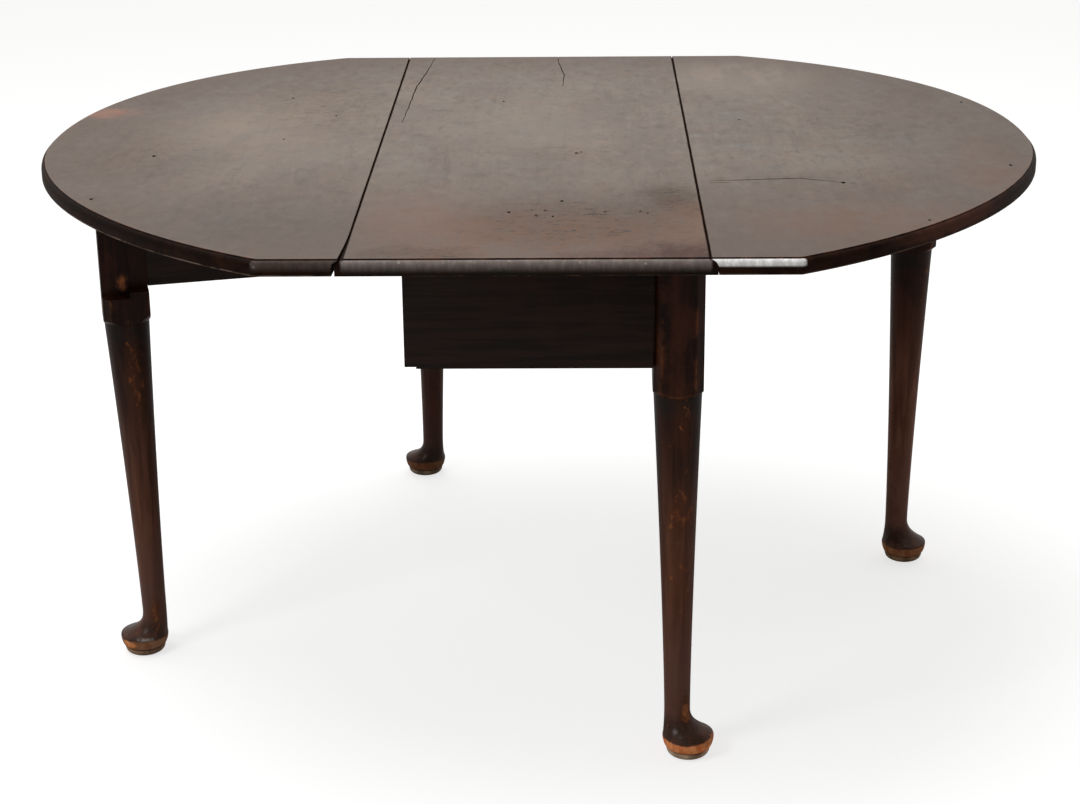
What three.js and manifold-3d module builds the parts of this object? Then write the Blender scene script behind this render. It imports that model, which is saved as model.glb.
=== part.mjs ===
// Oval gate-leg dining table with two drop leaves, shown with its leaves level and its gates swung out.
// Sizes are in millimetres. X runs across the leaves, Y along their joints, and Z up from the floor.
import * as THREE from "three";
import { mergeVertices } from "three/addons/utils/BufferGeometryUtils.js";
import Module from "manifold-3d";

const wasm = await Module();
wasm.setup();

// Turns, and how finely round forms are faceted.
const HALF_TURN = Math.PI;
const QUARTER_TURN = HALF_TURN / 2;
const FULL_TURN = HALF_TURN * 2;
const OVAL_FACETS = 80;
const LEG_FACETS = 24;
const SHOULDER_FACETS = 32;
const MOULDING_FACETS = 5;
const ROUND_STEPS = 8;
const PEG_STEPS = 4;
const SCREW_FACETS = 10;
const COVE_STEPS = 4;

// Fits: between pieces that seat on each other, and how far a cut runs past what it cuts.
const FIT = 0.3;
const OVERRUN = 5;

// Oval top: its right leaf reaches further than the left one, and its back half is the squarer one.
const HEIGHT = 711;
const TOP_THICKNESS = 20.5;
const OVAL_HALF_LENGTH = 697.4;
const RIGHT_LEAF_EXTRA = 9.7;
const OVAL_HALF_WIDTH = 684.1;
const BACK_NARROWING = 38.1;
const FRONT_POWER = 1.83;
const BACK_POWER = 2.18;
const END_CUT = 97.1;
const JOINT_FROM_CENTRE = 218;
const EDGE_STEP = 2;
const EDGE_ROUND_WIDTH = 5.5;
const EDGE_ROUND_HEIGHT = 9;

// Rule joint between the centre board and a leaf.
const RULE_SHOULDER = 3;
const RULE_RADIUS = 10;
const RULE_CLEARANCE = 0.8;
const SHOULDER_CLEARANCE = 1;

// Table hinges, let into the underside with their pins on the centre of the rule joint.
const HINGE_FROM_CENTRE = 330;
const HINGE_WIDTH = 38;
const HINGE_THICKNESS = 2.5;
const FIXED_FLAP_LENGTH = 40;
const LEAF_FLAP_LENGTH = 70;
const KNUCKLE_RADIUS = 4.5;
const KNUCKLE_WIDTH = 12.4;
const HINGE_PIN_RADIUS = 2;
const HINGE_CLEARANCE = 0.5;

// Legs: a square block, a tapered round shaft, and an offset pad foot.
const LEG_BLOCK = 63.4;
const LEG_BLOCK_DEPTH = 182.7;
const LEG_BEVEL = 10;
const LEG_FROM_END = 71.3;
const SHOULDER_RISE = 14;
const SHAFT_RELIEF = 0.25;
const ANKLE_HEIGHT = 65;
const ANKLE_RADIUS = 17.1;
const TAPER_POWER = 1.33;
const SHAFT_RINGS = 7;
const TRUMPET_POWER = 3;
const TRUMPET_RINGS = 6;
const PAD_REACH = 17;
const PAD_TOP_HEIGHT = 29;
const PAD_RADIUS = 34;
const PAD_RIM_HEIGHT = 25;
const PAD_UNDER_RADIUS = 30;
const PAD_RIM_EASE = 0.6;
const SHOE_HEIGHT = 10;
const SHOE_RADIUS = 29;
const SHOE_DRAW = 5.5;
const SHOE_SWELL_HEIGHT = 3.5;
const SHOE_EASE = 1.5;
const GROOVE_HEIGHT = 1.5;
const GROOVE_DEPTH = 2.5;
const FIXED_ANKLE_SHIFT = 5.5;
const LEFT_GATE_ANKLE_SHIFT = -8.3;
const RIGHT_GATE_ANKLE_SHIFT = -3;
const FIXED_TOE = THREE.MathUtils.degToRad(149);
const LEFT_GATE_TOE = THREE.MathUtils.degToRad(255);
const RIGHT_GATE_TOE = THREE.MathUtils.degToRad(214.5);

// End aprons.
const APRON_SETBACK = 3.7;
const APRON_THICKNESS = 18;
const APRON_DEPTH = 143.2;
const APRON_RELIEF_WIDTH = 14.5;
const APRON_RELIEF_HEIGHT = 2.4;

// Side rails: an inner one from end to end, and outside it a fixed length that carries the gate.
const RAIL_THICKNESS = 24;
const RAIL_FROM_LEG_CENTRE = 19.6;
const RAIL_CLEARANCE = 0.6;
const INNER_RAIL_THICKNESS = 23;
const INNER_RAIL_DEPTH = 134.2;
const OUTER_RAIL_DEPTH = 133.1;
const RAIL_HOUSING = 5;

// Dovetails where an inner rail meets the free end of an apron.
const DOVETAILS = 4;
const DOVETAIL_LENGTH = 13;
const DOVETAIL_ROOT = 18;
const DOVETAIL_FLARE = 2.5;

// Gates and their knuckle joints, with the angles by which they stand open.
const GATE_PIN_FROM_CENTRE = 88;
const LEFT_GATE_LEG_OUTSET = 14.25;
const RIGHT_GATE_LEG_OUTSET = 7.25;
const GATE_TOP_CLEARANCE = 0.4;
const LEFT_GATE_OPEN = THREE.MathUtils.degToRad(75.4);
const RIGHT_GATE_OPEN = THREE.MathUtils.degToRad(82.5);
const FINGERS = 5;
const FINGER_CLEARANCE = 0.6;
const GATE_PIN_RADIUS = 4;
const GATE_PIN_PROUD = 4;
const LAP_BELOW_APRON = 1;
const LAP_BELOW_RAIL = 1;
const LAP_PAST_APRON = 1.5;

// Mortise and tenon joints and their pegs.
const TENON_THICKNESS = 8;
const TENON_LENGTH = 26;
const TENON_SHOULDER = 16;
const PEG_RADIUS = 3.5;
const PEG_SETBACK = 12;
const PEG_INSET = 34;
const PEG_PAST_TENON = 2.5;

// Glue blocks in the corner of the inner rails and the top, each with a screw up into the top.
const GLUE_BLOCK_WIDTH = 26;
const GLUE_BLOCK_LENGTH = 70;
const GLUE_BLOCK_FROM_CENTRE = 300;
const SCREW_RADIUS = 2.2;
const SCREW_HEAD_RADIUS = 4.4;
const SCREW_HEAD_HEIGHT = 3;
const SCREW_BITE = 11;

// Places worked out from the sizes above.
const UNDERSIDE = HEIGHT - TOP_THICKNESS;
const FRAME_TOP = UNDERSIDE - FIT;
const GATE_TOP = UNDERSIDE - GATE_TOP_CLEARANCE;
const RULE_AXIS = HEIGHT - RULE_SHOULDER - RULE_RADIUS;
const FLAP_TOP = RULE_AXIS - KNUCKLE_RADIUS + HINGE_THICKNESS;
const END_FROM_CENTRE = OVAL_HALF_WIDTH - END_CUT;
const FRONT_HALF = { width: OVAL_HALF_WIDTH, power: FRONT_POWER };
const BACK_HALF = { width: OVAL_HALF_WIDTH - BACK_NARROWING, power: BACK_POWER };
const OVAL_CENTRE = RIGHT_LEAF_EXTRA / 2;
const BLOCK_HALF = LEG_BLOCK / 2;
const FIXED_LEG_X = JOINT_FROM_CENTRE - BLOCK_HALF;
const FIXED_LEG_Y = END_FROM_CENTRE - LEG_FROM_END - BLOCK_HALF;
const SHOULDER_HEIGHT = FRAME_TOP - LEG_BLOCK_DEPTH;
const SHAFT_TOP_RADIUS = BLOCK_HALF - SHAFT_RELIEF;
const APRON_FACE = FIXED_LEG_Y + BLOCK_HALF - APRON_SETBACK;
const APRON_BACK = APRON_FACE - APRON_THICKNESS;
const APRON_BOTTOM = FRAME_TOP - APRON_DEPTH;
const RAIL_LINE = FIXED_LEG_X - RAIL_FROM_LEG_CENTRE;
const INNER_RAIL_FACE = RAIL_LINE - RAIL_THICKNESS / 2 - RAIL_CLEARANCE;
const INNER_RAIL_BACK = INNER_RAIL_FACE - INNER_RAIL_THICKNESS;
const INNER_RAIL_BOTTOM = FRAME_TOP - INNER_RAIL_DEPTH;
const OUTER_RAIL_BOTTOM = GATE_TOP - OUTER_RAIL_DEPTH;
const LEFT_GATE = {
  length: FIXED_LEG_Y + LEFT_GATE_LEG_OUTSET - GATE_PIN_FROM_CENTRE,
  open: LEFT_GATE_OPEN,
  toe: LEFT_GATE_TOE,
  ankleShift: LEFT_GATE_ANKLE_SHIFT,
};
const RIGHT_GATE = {
  length: FIXED_LEG_Y + RIGHT_GATE_LEG_OUTSET - GATE_PIN_FROM_CENTRE,
  open: RIGHT_GATE_OPEN,
  toe: RIGHT_GATE_TOE,
  ankleShift: RIGHT_GATE_ANKLE_SHIFT,
};
const FINGER_HEIGHT = OUTER_RAIL_DEPTH / FINGERS;
const HINGE_PLACES = [-HINGE_FROM_CENTRE, HINGE_FROM_CENTRE];
const SCREW_PLACES = [-GLUE_BLOCK_FROM_CENTRE, GLUE_BLOCK_FROM_CENTRE];

// Looks of the pieces.
const TOP_WOOD = new THREE.MeshStandardMaterial({ color: 0x54453c, roughness: 0.35, metalness: 0 });
const LEG_WOOD = new THREE.MeshStandardMaterial({ color: 0x2c1c14, roughness: 0.4, metalness: 0 });
const RAIL_WOOD = new THREE.MeshStandardMaterial({ color: 0x241914, roughness: 0.55, metalness: 0 });
const PEG_WOOD = new THREE.MeshStandardMaterial({ color: 0x3a2519, roughness: 0.6, metalness: 0 });
const OLD_IRON = new THREE.MeshStandardMaterial({ color: 0x35312e, roughness: 0.6, metalness: 0.9 });

// The solid inside a closed geometry.
function solid(geometry) {
  geometry.deleteAttribute("normal");
  geometry.deleteAttribute("uv");
  const merged = mergeVertices(geometry);
  return new wasm.Manifold(
    new wasm.Mesh({
      numProp: 3,
      vertProperties: merged.attributes.position.array,
      triVerts: new Uint32Array(merged.index.array),
    }),
  );
}

// The geometry of a solid's surface.
function surface(body) {
  const mesh = body.getMesh();
  const geometry = new THREE.BufferGeometry();
  geometry.setAttribute("position", new THREE.BufferAttribute(mesh.vertProperties, 3));
  geometry.setIndex(new THREE.BufferAttribute(mesh.triVerts, 1));
  geometry.computeVertexNormals();
  return geometry;
}

// A named piece of the table.
function piece(name, body, material) {
  const mesh = new THREE.Mesh(surface(body), material.clone());
  mesh.name = name;
  return mesh;
}

// A copy of a solid turned half round the table's upright centre line.
function opposite(body) {
  return solid(surface(body).rotateZ(HALF_TURN));
}

// An outline with straight sides between the given corners.
function polygon(corners) {
  return new THREE.Shape(corners.map(([a, b]) => new THREE.Vector2(a, b)));
}

// A round outline.
function disc([a, b], radius) {
  const shape = new THREE.Shape();
  shape.absarc(a, b, radius, 0, FULL_TURN, false);
  return shape;
}

// How an outline lies before it is pushed: in YZ along X, in XZ along Y, and in XY along Z.
const X_AXIS = new THREE.Vector3(1, 0, 0);
const Y_AXIS = new THREE.Vector3(0, 1, 0);
const Z_AXIS = new THREE.Vector3(0, 0, 1);
const LAID = {
  x: new THREE.Matrix4().makeBasis(Y_AXIS, Z_AXIS, X_AXIS),
  y: new THREE.Matrix4().makeBasis(X_AXIS, Z_AXIS, Y_AXIS.clone().negate()),
  z: new THREE.Matrix4(),
};

// An outline pushed along an axis from one place to another.
function pushed(shape, axis, from, to, steps = ROUND_STEPS) {
  const geometry = new THREE.ExtrudeGeometry(shape, {
    depth: to - from,
    bevelEnabled: false,
    curveSegments: steps,
  });
  geometry.translate(0, 0, axis === "y" ? -to : from);
  return solid(geometry.applyMatrix4(LAID[axis]));
}

// A rectangular block between two places on each axis.
function block([x0, x1], [y0, y1], [z0, z1]) {
  const geometry = new THREE.BoxGeometry(x1 - x0, y1 - y0, z1 - z0);
  return solid(geometry.translate((x0 + x1) / 2, (y0 + y1) / 2, (z0 + z1) / 2));
}

// A solid skinned over convex rings, lowest first, whose points run anticlockwise seen from above.
function loft(rings) {
  const count = rings[0].length;
  const index = [];
  for (let start = 0; start < count * (rings.length - 1); start += count) {
    for (let i = 0; i < count; i++) {
      const here = start + i;
      const next = start + ((i + 1) % count);
      index.push(here, next, next + count, here, next + count, here + count);
    }
  }
  const top = count * (rings.length - 1);
  for (let i = 1; i + 1 < count; i++) {
    index.push(0, i + 1, i, top, top + i, top + i + 1);
  }
  const geometry = new THREE.BufferGeometry().setFromPoints(rings.flat());
  return solid(geometry.setIndex(index));
}

// Edge moulding of the top, from the underside up, as pairs of inset and height.
function edgeMoulding() {
  const roundFoot = HEIGHT - EDGE_STEP - EDGE_ROUND_HEIGHT;
  const pairs = [[0, UNDERSIDE]];
  for (let i = 0; i <= MOULDING_FACETS; i++) {
    const angle = (i / MOULDING_FACETS) * QUARTER_TURN;
    pairs.push([
      EDGE_ROUND_WIDTH * (1 - Math.cos(angle)),
      roundFoot + EDGE_ROUND_HEIGHT * Math.sin(angle),
    ]);
  }
  pairs.push([EDGE_ROUND_WIDTH, HEIGHT]);
  return pairs;
}

// A power that keeps the sign of what it is taken of.
function signedPower(value, power) {
  return Math.sign(value) * Math.abs(value) ** power;
}

// An oval outline of two unlike halves, drawn in square to itself by an inset.
function ovalRing(reach, lower, upper, inset, height) {
  return Array.from({ length: OVAL_FACETS }, (_, i) => {
    const angle = (i / OVAL_FACETS) * FULL_TURN;
    const { width, power } = angle < HALF_TURN ? upper : lower;
    const across = signedPower(Math.cos(angle), 2 / power);
    const along = signedPower(Math.sin(angle), 2 / power);
    const inward = new THREE.Vector2(
      signedPower(across, power - 1) / reach,
      signedPower(along, power - 1) / width,
    ).setLength(inset);
    return new THREE.Vector3(reach * across - inward.x, width * along - inward.y, height);
  });
}

// Section of the top between its two straight, moulded ends.
function topEnds() {
  const half = edgeMoulding().map(([inset, height]) => [END_FROM_CENTRE - inset, height]);
  const otherHalf = half.map(([y, height]) => [-y, height]).reverse();
  return polygon([...half, ...otherHalf]);
}

// Section of the centre board across its two ovolo edges.
function centreBoardSection() {
  const lip = JOINT_FROM_CENTRE + RULE_RADIUS;
  const shape = new THREE.Shape();
  shape.moveTo(-lip, UNDERSIDE);
  shape.lineTo(lip, UNDERSIDE);
  shape.absarc(JOINT_FROM_CENTRE, RULE_AXIS, RULE_RADIUS, 0, QUARTER_TURN, false);
  shape.lineTo(JOINT_FROM_CENTRE, HEIGHT);
  shape.lineTo(-JOINT_FROM_CENTRE, HEIGHT);
  shape.absarc(-JOINT_FROM_CENTRE, RULE_AXIS, RULE_RADIUS, QUARTER_TURN, HALF_TURN, false);
  return shape;
}

// Section of the right leaf inward of its rim: a cove under a thin top lip.
function leafSection(reach) {
  const radius = RULE_RADIUS + RULE_CLEARANCE;
  const lip = JOINT_FROM_CENTRE + SHOULDER_CLEARANCE;
  const shape = new THREE.Shape();
  shape.moveTo(reach + OVERRUN, UNDERSIDE - OVERRUN);
  shape.lineTo(reach + OVERRUN, HEIGHT + OVERRUN);
  shape.lineTo(lip, HEIGHT + OVERRUN);
  const lipAngle = Math.acos(SHOULDER_CLEARANCE / radius);
  shape.absarc(JOINT_FROM_CENTRE, RULE_AXIS, radius, lipAngle, 0, true);
  shape.lineTo(JOINT_FROM_CENTRE + radius, UNDERSIDE - OVERRUN);
  return shape;
}

// Room for one hinge in the right edge of the centre board.
function hingeRoomInBoard(y) {
  const width = [y - HINGE_WIDTH / 2 - FIT, y + HINGE_WIDTH / 2 + FIT];
  const knuckleRoom = KNUCKLE_RADIUS + HINGE_CLEARANCE;
  const flap = block(
    [JOINT_FROM_CENTRE - FIXED_FLAP_LENGTH - FIT, JOINT_FROM_CENTRE],
    width,
    [UNDERSIDE - OVERRUN, FLAP_TOP + FIT],
  );
  const mouth = block(
    [JOINT_FROM_CENTRE - knuckleRoom, JOINT_FROM_CENTRE + RULE_RADIUS + OVERRUN],
    width,
    [UNDERSIDE - OVERRUN, RULE_AXIS],
  );
  const bore = pushed(disc([JOINT_FROM_CENTRE, RULE_AXIS], knuckleRoom), "y", ...width);
  return flap.add(mouth).add(bore);
}

// Room for one hinge flap in the right leaf.
function hingeRoomInLeaf(y) {
  return block(
    [JOINT_FROM_CENTRE, JOINT_FROM_CENTRE + LEAF_FLAP_LENGTH + FIT],
    [y - HINGE_WIDTH / 2 - FIT, y + HINGE_WIDTH / 2 + FIT],
    [UNDERSIDE - OVERRUN, FLAP_TOP + FIT],
  );
}

// The fixed board, with hinge recesses along both edges and holes for the frame's screws.
function centreBoard() {
  let board = pushed(centreBoardSection(), "y", -END_FROM_CENTRE, END_FROM_CENTRE, COVE_STEPS);
  const lip = JOINT_FROM_CENTRE + RULE_RADIUS;
  board = board.intersect(pushed(topEnds(), "x", -lip, lip));
  for (const y of HINGE_PLACES) {
    const room = hingeRoomInBoard(y);
    board = board.subtract(room).subtract(opposite(room));
  }
  for (const y of SCREW_PLACES) {
    const hole = screwHole(y);
    board = board.subtract(hole).subtract(opposite(hole));
  }
  return board;
}

// A leaf on the right: half the oval, cut straight at its ends and coved along the joint.
function leaf(reach, lower, upper) {
  const rings = edgeMoulding().map(([inset, height]) => ovalRing(reach, lower, upper, inset, height));
  const slab = loft(rings);
  const ends = pushed(topEnds(), "x", 0, reach + OVERRUN);
  const inside = pushed(leafSection(reach), "y", -OVAL_HALF_WIDTH, OVAL_HALF_WIDTH, COVE_STEPS);
  const body = slab.intersect(ends).intersect(inside);
  return HINGE_PLACES.reduce((rest, y) => rest.subtract(hingeRoomInLeaf(y)), body);
}

// One hinge knuckle between two places along the pin.
function hingeKnuckle(y0, y1) {
  return pushed(disc([JOINT_FROM_CENTRE, RULE_AXIS], KNUCKLE_RADIUS), "y", y0, y1);
}

// A bore for the hinge pin through every knuckle of a flap.
function hingeBore(y) {
  const reach = HINGE_WIDTH / 2 + OVERRUN;
  const ring = disc([JOINT_FROM_CENTRE, RULE_AXIS], HINGE_PIN_RADIUS + FIT);
  return pushed(ring, "y", y - reach, y + reach);
}

// The short flap, screwed to the centre board, with the two outer knuckles.
function fixedFlap(y) {
  const half = HINGE_WIDTH / 2;
  const slot = KNUCKLE_WIDTH / 2 + HINGE_CLEARANCE;
  const plateHeights = [FLAP_TOP - HINGE_THICKNESS, FLAP_TOP];
  const plate = block(
    [JOINT_FROM_CENTRE - FIXED_FLAP_LENGTH, JOINT_FROM_CENTRE],
    [y - half, y + half],
    plateHeights,
  );
  const opening = block(
    [JOINT_FROM_CENTRE - KNUCKLE_RADIUS - HINGE_CLEARANCE, JOINT_FROM_CENTRE + OVERRUN],
    [y - slot, y + slot],
    [FLAP_TOP - HINGE_THICKNESS - OVERRUN, FLAP_TOP + OVERRUN],
  );
  return plate
    .subtract(opening)
    .add(hingeKnuckle(y - half, y - slot))
    .add(hingeKnuckle(y + slot, y + half))
    .subtract(hingeBore(y));
}

// The long flap, screwed to the leaf, with the middle knuckle.
function leafFlap(y) {
  const half = HINGE_WIDTH / 2;
  const knuckle = KNUCKLE_WIDTH / 2;
  const plateHeights = [FLAP_TOP - HINGE_THICKNESS, FLAP_TOP];
  const plate = block(
    [JOINT_FROM_CENTRE + KNUCKLE_RADIUS + HINGE_CLEARANCE, JOINT_FROM_CENTRE + LEAF_FLAP_LENGTH],
    [y - half, y + half],
    plateHeights,
  );
  const tongue = block(
    [JOINT_FROM_CENTRE, JOINT_FROM_CENTRE + LEAF_FLAP_LENGTH / 2],
    [y - knuckle, y + knuckle],
    plateHeights,
  );
  return plate.add(tongue).add(hingeKnuckle(y - knuckle, y + knuckle)).subtract(hingeBore(y));
}

// The pin through the knuckles of one hinge.
function hingePin(y) {
  const half = HINGE_WIDTH / 2;
  return pushed(disc([JOINT_FROM_CENTRE, RULE_AXIS], HINGE_PIN_RADIUS), "y", y - half, y + half);
}

// One leaf with its two hinges, as it lies on the right.
function leafGroup(side, reach, lower, upper) {
  const group = new THREE.Group();
  group.add(piece(side + "_leaf", leaf(reach, lower, upper), TOP_WOOD));
  for (const [i, y] of HINGE_PLACES.entries()) {
    const name = side + "_hinge_" + (i + 1);
    group.add(piece(name + "_fixed_flap", fixedFlap(y), OLD_IRON));
    group.add(piece(name + "_leaf_flap", leafFlap(y), OLD_IRON));
    group.add(piece(name + "_pin", hingePin(y), OLD_IRON));
  }
  return group;
}

// Plan of a leg's square block, with a bevel on each corner that is asked for.
function blockPlan(bevelled) {
  const inner = BLOCK_HALF - LEG_BEVEL;
  const corners = [[1, 1], [-1, 1], [-1, -1], [1, -1]];
  return polygon(
    corners.flatMap(([x, y], i) => {
      if (!bevelled.includes(i)) return [[x * BLOCK_HALF, y * BLOCK_HALF]];
      const pair = [[x * BLOCK_HALF, y * inner], [x * inner, y * BLOCK_HALF]];
      return x === y ? pair : pair.reverse();
    }),
  );
}

// The turned shoulder that scallops the lower end of a leg's block.
function shoulder(top) {
  const foot = SHAFT_TOP_RADIUS;
  const reach = foot + SHOULDER_RISE;
  const profile = [[0, SHOULDER_HEIGHT], [foot, SHOULDER_HEIGHT]];
  profile.push([reach, SHOULDER_HEIGHT + SHOULDER_RISE], [reach, top], [0, top]);
  const points = profile.map(([radius, height]) => new THREE.Vector2(radius, height));
  return solid(new THREE.LatheGeometry(points, SHOULDER_FACETS).rotateX(QUARTER_TURN));
}

// A level ring of the leg, with its centre moved towards the toe.
function legRing(toe, shift, height, radius) {
  return Array.from({ length: LEG_FACETS }, (_, i) => {
    const angle = toe + (i / LEG_FACETS) * FULL_TURN;
    return new THREE.Vector3(
      shift * Math.cos(toe) + radius * Math.cos(angle),
      shift * Math.sin(toe) + radius * Math.sin(angle),
      height,
    );
  });
}

// The pad foot as pairs of height and radius: a bowl-like shoe, a groove, and a pad that widens to its rim.
function padProfile() {
  const groove = SHOE_RADIUS - GROOVE_DEPTH;
  return [
    [0, SHOE_RADIUS - SHOE_DRAW],
    [SHOE_SWELL_HEIGHT, SHOE_RADIUS - SHOE_EASE],
    [SHOE_HEIGHT, SHOE_RADIUS],
    [SHOE_HEIGHT, groove],
    [SHOE_HEIGHT + GROOVE_HEIGHT, groove],
    [SHOE_HEIGHT + GROOVE_HEIGHT, PAD_UNDER_RADIUS],
    [PAD_RIM_HEIGHT, PAD_RADIUS],
  ];
}

// The round part of a leg: pad foot, trumpet to the ankle, and the shaft up into the block.
function turning(toe, ankleShift) {
  const padShift = ankleShift + PAD_REACH;
  const rings = padProfile().map(([height, radius]) => legRing(toe, padShift, height, radius));
  for (let i = 0; i <= TRUMPET_RINGS; i++) {
    const share = 1 - i / TRUMPET_RINGS;
    const flare = share ** TRUMPET_POWER;
    const height = ANKLE_HEIGHT + (PAD_TOP_HEIGHT - ANKLE_HEIGHT) * share;
    const radius = ANKLE_RADIUS + (PAD_RADIUS - PAD_RIM_EASE - ANKLE_RADIUS) * flare;
    rings.push(legRing(toe, ankleShift + PAD_REACH * flare, height, radius));
  }
  const shaftTop = SHOULDER_HEIGHT + SHOULDER_RISE;
  for (let i = 1; i <= SHAFT_RINGS; i++) {
    const share = i / SHAFT_RINGS;
    const radius = ANKLE_RADIUS + (SHAFT_TOP_RADIUS - ANKLE_RADIUS) * share ** TAPER_POWER;
    const height = ANKLE_HEIGHT + (shaftTop - ANKLE_HEIGHT) * share;
    rings.push(legRing(toe, ankleShift * (1 - share), height, radius));
  }
  return loft(rings);
}

// A whole leg about its own centre line, before its joints are cut.
function leg(toe, ankleShift, bevelled, top) {
  const square = pushed(blockPlan(bevelled), "z", SHOULDER_HEIGHT, top);
  return square.intersect(shoulder(top)).add(turning(toe, ankleShift));
}

// Heights of a tenon on a rail, and of the two pegs through it.
function tenonHeights(bottom, top, gap) {
  return [bottom + TENON_SHOULDER - gap, top - TENON_SHOULDER + gap];
}

function pegHeights(bottom, top) {
  return [bottom + PEG_INSET, top - PEG_INSET];
}

// Height of each dovetail's middle on an inner rail.
function dovetailHeights() {
  const pitch = (FRAME_TOP - INNER_RAIL_BOTTOM) / DOVETAILS;
  return Array.from({ length: DOVETAILS }, (_, i) => INNER_RAIL_BOTTOM + pitch * (i + 1 / 2));
}

// The dovetails at the front end of the left inner rail, or their sockets with a gap around them.
function dovetails(gap) {
  const across = [-INNER_RAIL_FACE - gap, -INNER_RAIL_BACK + gap];
  const root = DOVETAIL_ROOT / 2 + gap;
  const tip = root + DOVETAIL_FLARE;
  const near = -APRON_BACK + OVERRUN;
  const far = -APRON_BACK - DOVETAIL_LENGTH - gap;
  return dovetailHeights()
    .map((z) => polygon([[near, z - root], [near, z + root], [far, z + tip], [far, z - tip]]))
    .map((outline) => pushed(outline, "x", ...across))
    .reduce((all, one) => all.add(one));
}

// The left inner rail: dovetailed into the front apron and housed in the back one.
function innerRail() {
  const board = block(
    [-INNER_RAIL_FACE, -INNER_RAIL_BACK],
    [-APRON_BACK + FIT, APRON_BACK + RAIL_HOUSING - FIT],
    [INNER_RAIL_BOTTOM, FRAME_TOP],
  );
  return board.add(dovetails(0));
}

// The back apron: tenoned into the back left leg, with its other end free above the shut right gate.
function backApron() {
  const legFace = -FIXED_LEG_X + BLOCK_HALF;
  const middle = (APRON_FACE + APRON_BACK) / 2;
  const board = block(
    [legFace + FIT, INNER_RAIL_FACE],
    [APRON_BACK, APRON_FACE],
    [APRON_BOTTOM, FRAME_TOP],
  );
  const tenon = block(
    [legFace - TENON_LENGTH, legFace + OVERRUN],
    [middle - TENON_THICKNESS / 2, middle + TENON_THICKNESS / 2],
    tenonHeights(APRON_BOTTOM, FRAME_TOP, 0),
  );
  const relief = block(
    [INNER_RAIL_FACE - APRON_RELIEF_WIDTH, INNER_RAIL_FACE + OVERRUN],
    [APRON_BACK - OVERRUN, APRON_FACE + OVERRUN],
    [APRON_BOTTOM - OVERRUN, APRON_BOTTOM + APRON_RELIEF_HEIGHT],
  );
  const housing = block(
    [-INNER_RAIL_FACE - FIT, -INNER_RAIL_BACK + FIT],
    [APRON_BACK - OVERRUN, APRON_BACK + RAIL_HOUSING],
    [INNER_RAIL_BOTTOM - FIT, FRAME_TOP + OVERRUN],
  );
  const sockets = opposite(dovetails(FIT));
  let apron = board.add(tenon).subtract(relief).subtract(housing).subtract(sockets);
  for (const z of pegHeights(APRON_BOTTOM, FRAME_TOP)) {
    apron = apron.subtract(apronPeg(z, FIT));
  }
  return apron;
}

// One peg through the back left leg and the apron's tenon, or its hole with a gap around it.
function apronPeg(z, gap) {
  const x = -FIXED_LEG_X + BLOCK_HALF - PEG_SETBACK;
  const inner = (APRON_FACE + APRON_BACK) / 2 - TENON_THICKNESS / 2 - PEG_PAST_TENON - gap;
  const outer = FIXED_LEG_Y + BLOCK_HALF + OVERRUN * Math.sign(gap);
  return pushed(disc([x, z], PEG_RADIUS + gap), "y", inner, outer, PEG_STEPS);
}

// One peg through the back left leg and the outer rail's tenon, or its hole with a gap around it.
function railPeg(z, gap) {
  const y = FIXED_LEG_Y - BLOCK_HALF + PEG_SETBACK;
  const outer = -FIXED_LEG_X - BLOCK_HALF - OVERRUN * Math.sign(gap);
  const inner = -RAIL_LINE + TENON_THICKNESS / 2 + PEG_PAST_TENON + gap;
  return pushed(disc([y, z], PEG_RADIUS + gap), "x", outer, inner, PEG_STEPS);
}

// The back left leg, with a mortise for the apron and one for the outer rail.
function fixedLeg() {
  const shape = surface(leg(FIXED_TOE, FIXED_ANKLE_SHIFT, [0, 1, 2], FRAME_TOP));
  const whole = solid(shape.translate(-FIXED_LEG_X, FIXED_LEG_Y, 0));
  const apronMiddle = (APRON_FACE + APRON_BACK) / 2;
  const half = TENON_THICKNESS / 2 + FIT;
  const apronMortise = block(
    [-FIXED_LEG_X + BLOCK_HALF - TENON_LENGTH - FIT, -FIXED_LEG_X + BLOCK_HALF + OVERRUN],
    [apronMiddle - half, apronMiddle + half],
    tenonHeights(APRON_BOTTOM, FRAME_TOP, FIT),
  );
  const railMortise = block(
    [-RAIL_LINE - half, -RAIL_LINE + half],
    [FIXED_LEG_Y - BLOCK_HALF - OVERRUN, FIXED_LEG_Y - BLOCK_HALF + TENON_LENGTH + FIT],
    tenonHeights(OUTER_RAIL_BOTTOM, FRAME_TOP, FIT),
  );
  let body = whole.subtract(apronMortise).subtract(railMortise);
  for (const z of pegHeights(APRON_BOTTOM, FRAME_TOP)) {
    body = body.subtract(apronPeg(z, FIT));
  }
  for (const z of pegHeights(OUTER_RAIL_BOTTOM, FRAME_TOP)) {
    body = body.subtract(railPeg(z, FIT));
  }
  return body;
}

// Plan of a rail's end at the knuckle, between its opening and its closing face, and mitred on the first.
function knucklePlan(opening, closing, far) {
  const mitre = Math.abs(opening) + FIT;
  return polygon([[opening, mitre], [0, FIT], [closing, FIT], [closing, far], [opening, far]]);
}

// The layers of the knuckle that belong to the fixed rail, or those of the gate, as discs round the pin.
function fingers(first, radius, gap) {
  const layers = [];
  for (let i = first; i < FINGERS; i += 2) {
    const low = OUTER_RAIL_BOTTOM + FINGER_HEIGHT * i - gap;
    const high = OUTER_RAIL_BOTTOM + FINGER_HEIGHT * (i + 1) + gap;
    layers.push(pushed(disc([0, 0], radius), "z", low, high));
  }
  return layers.reduce((all, one) => all.add(one));
}

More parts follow.
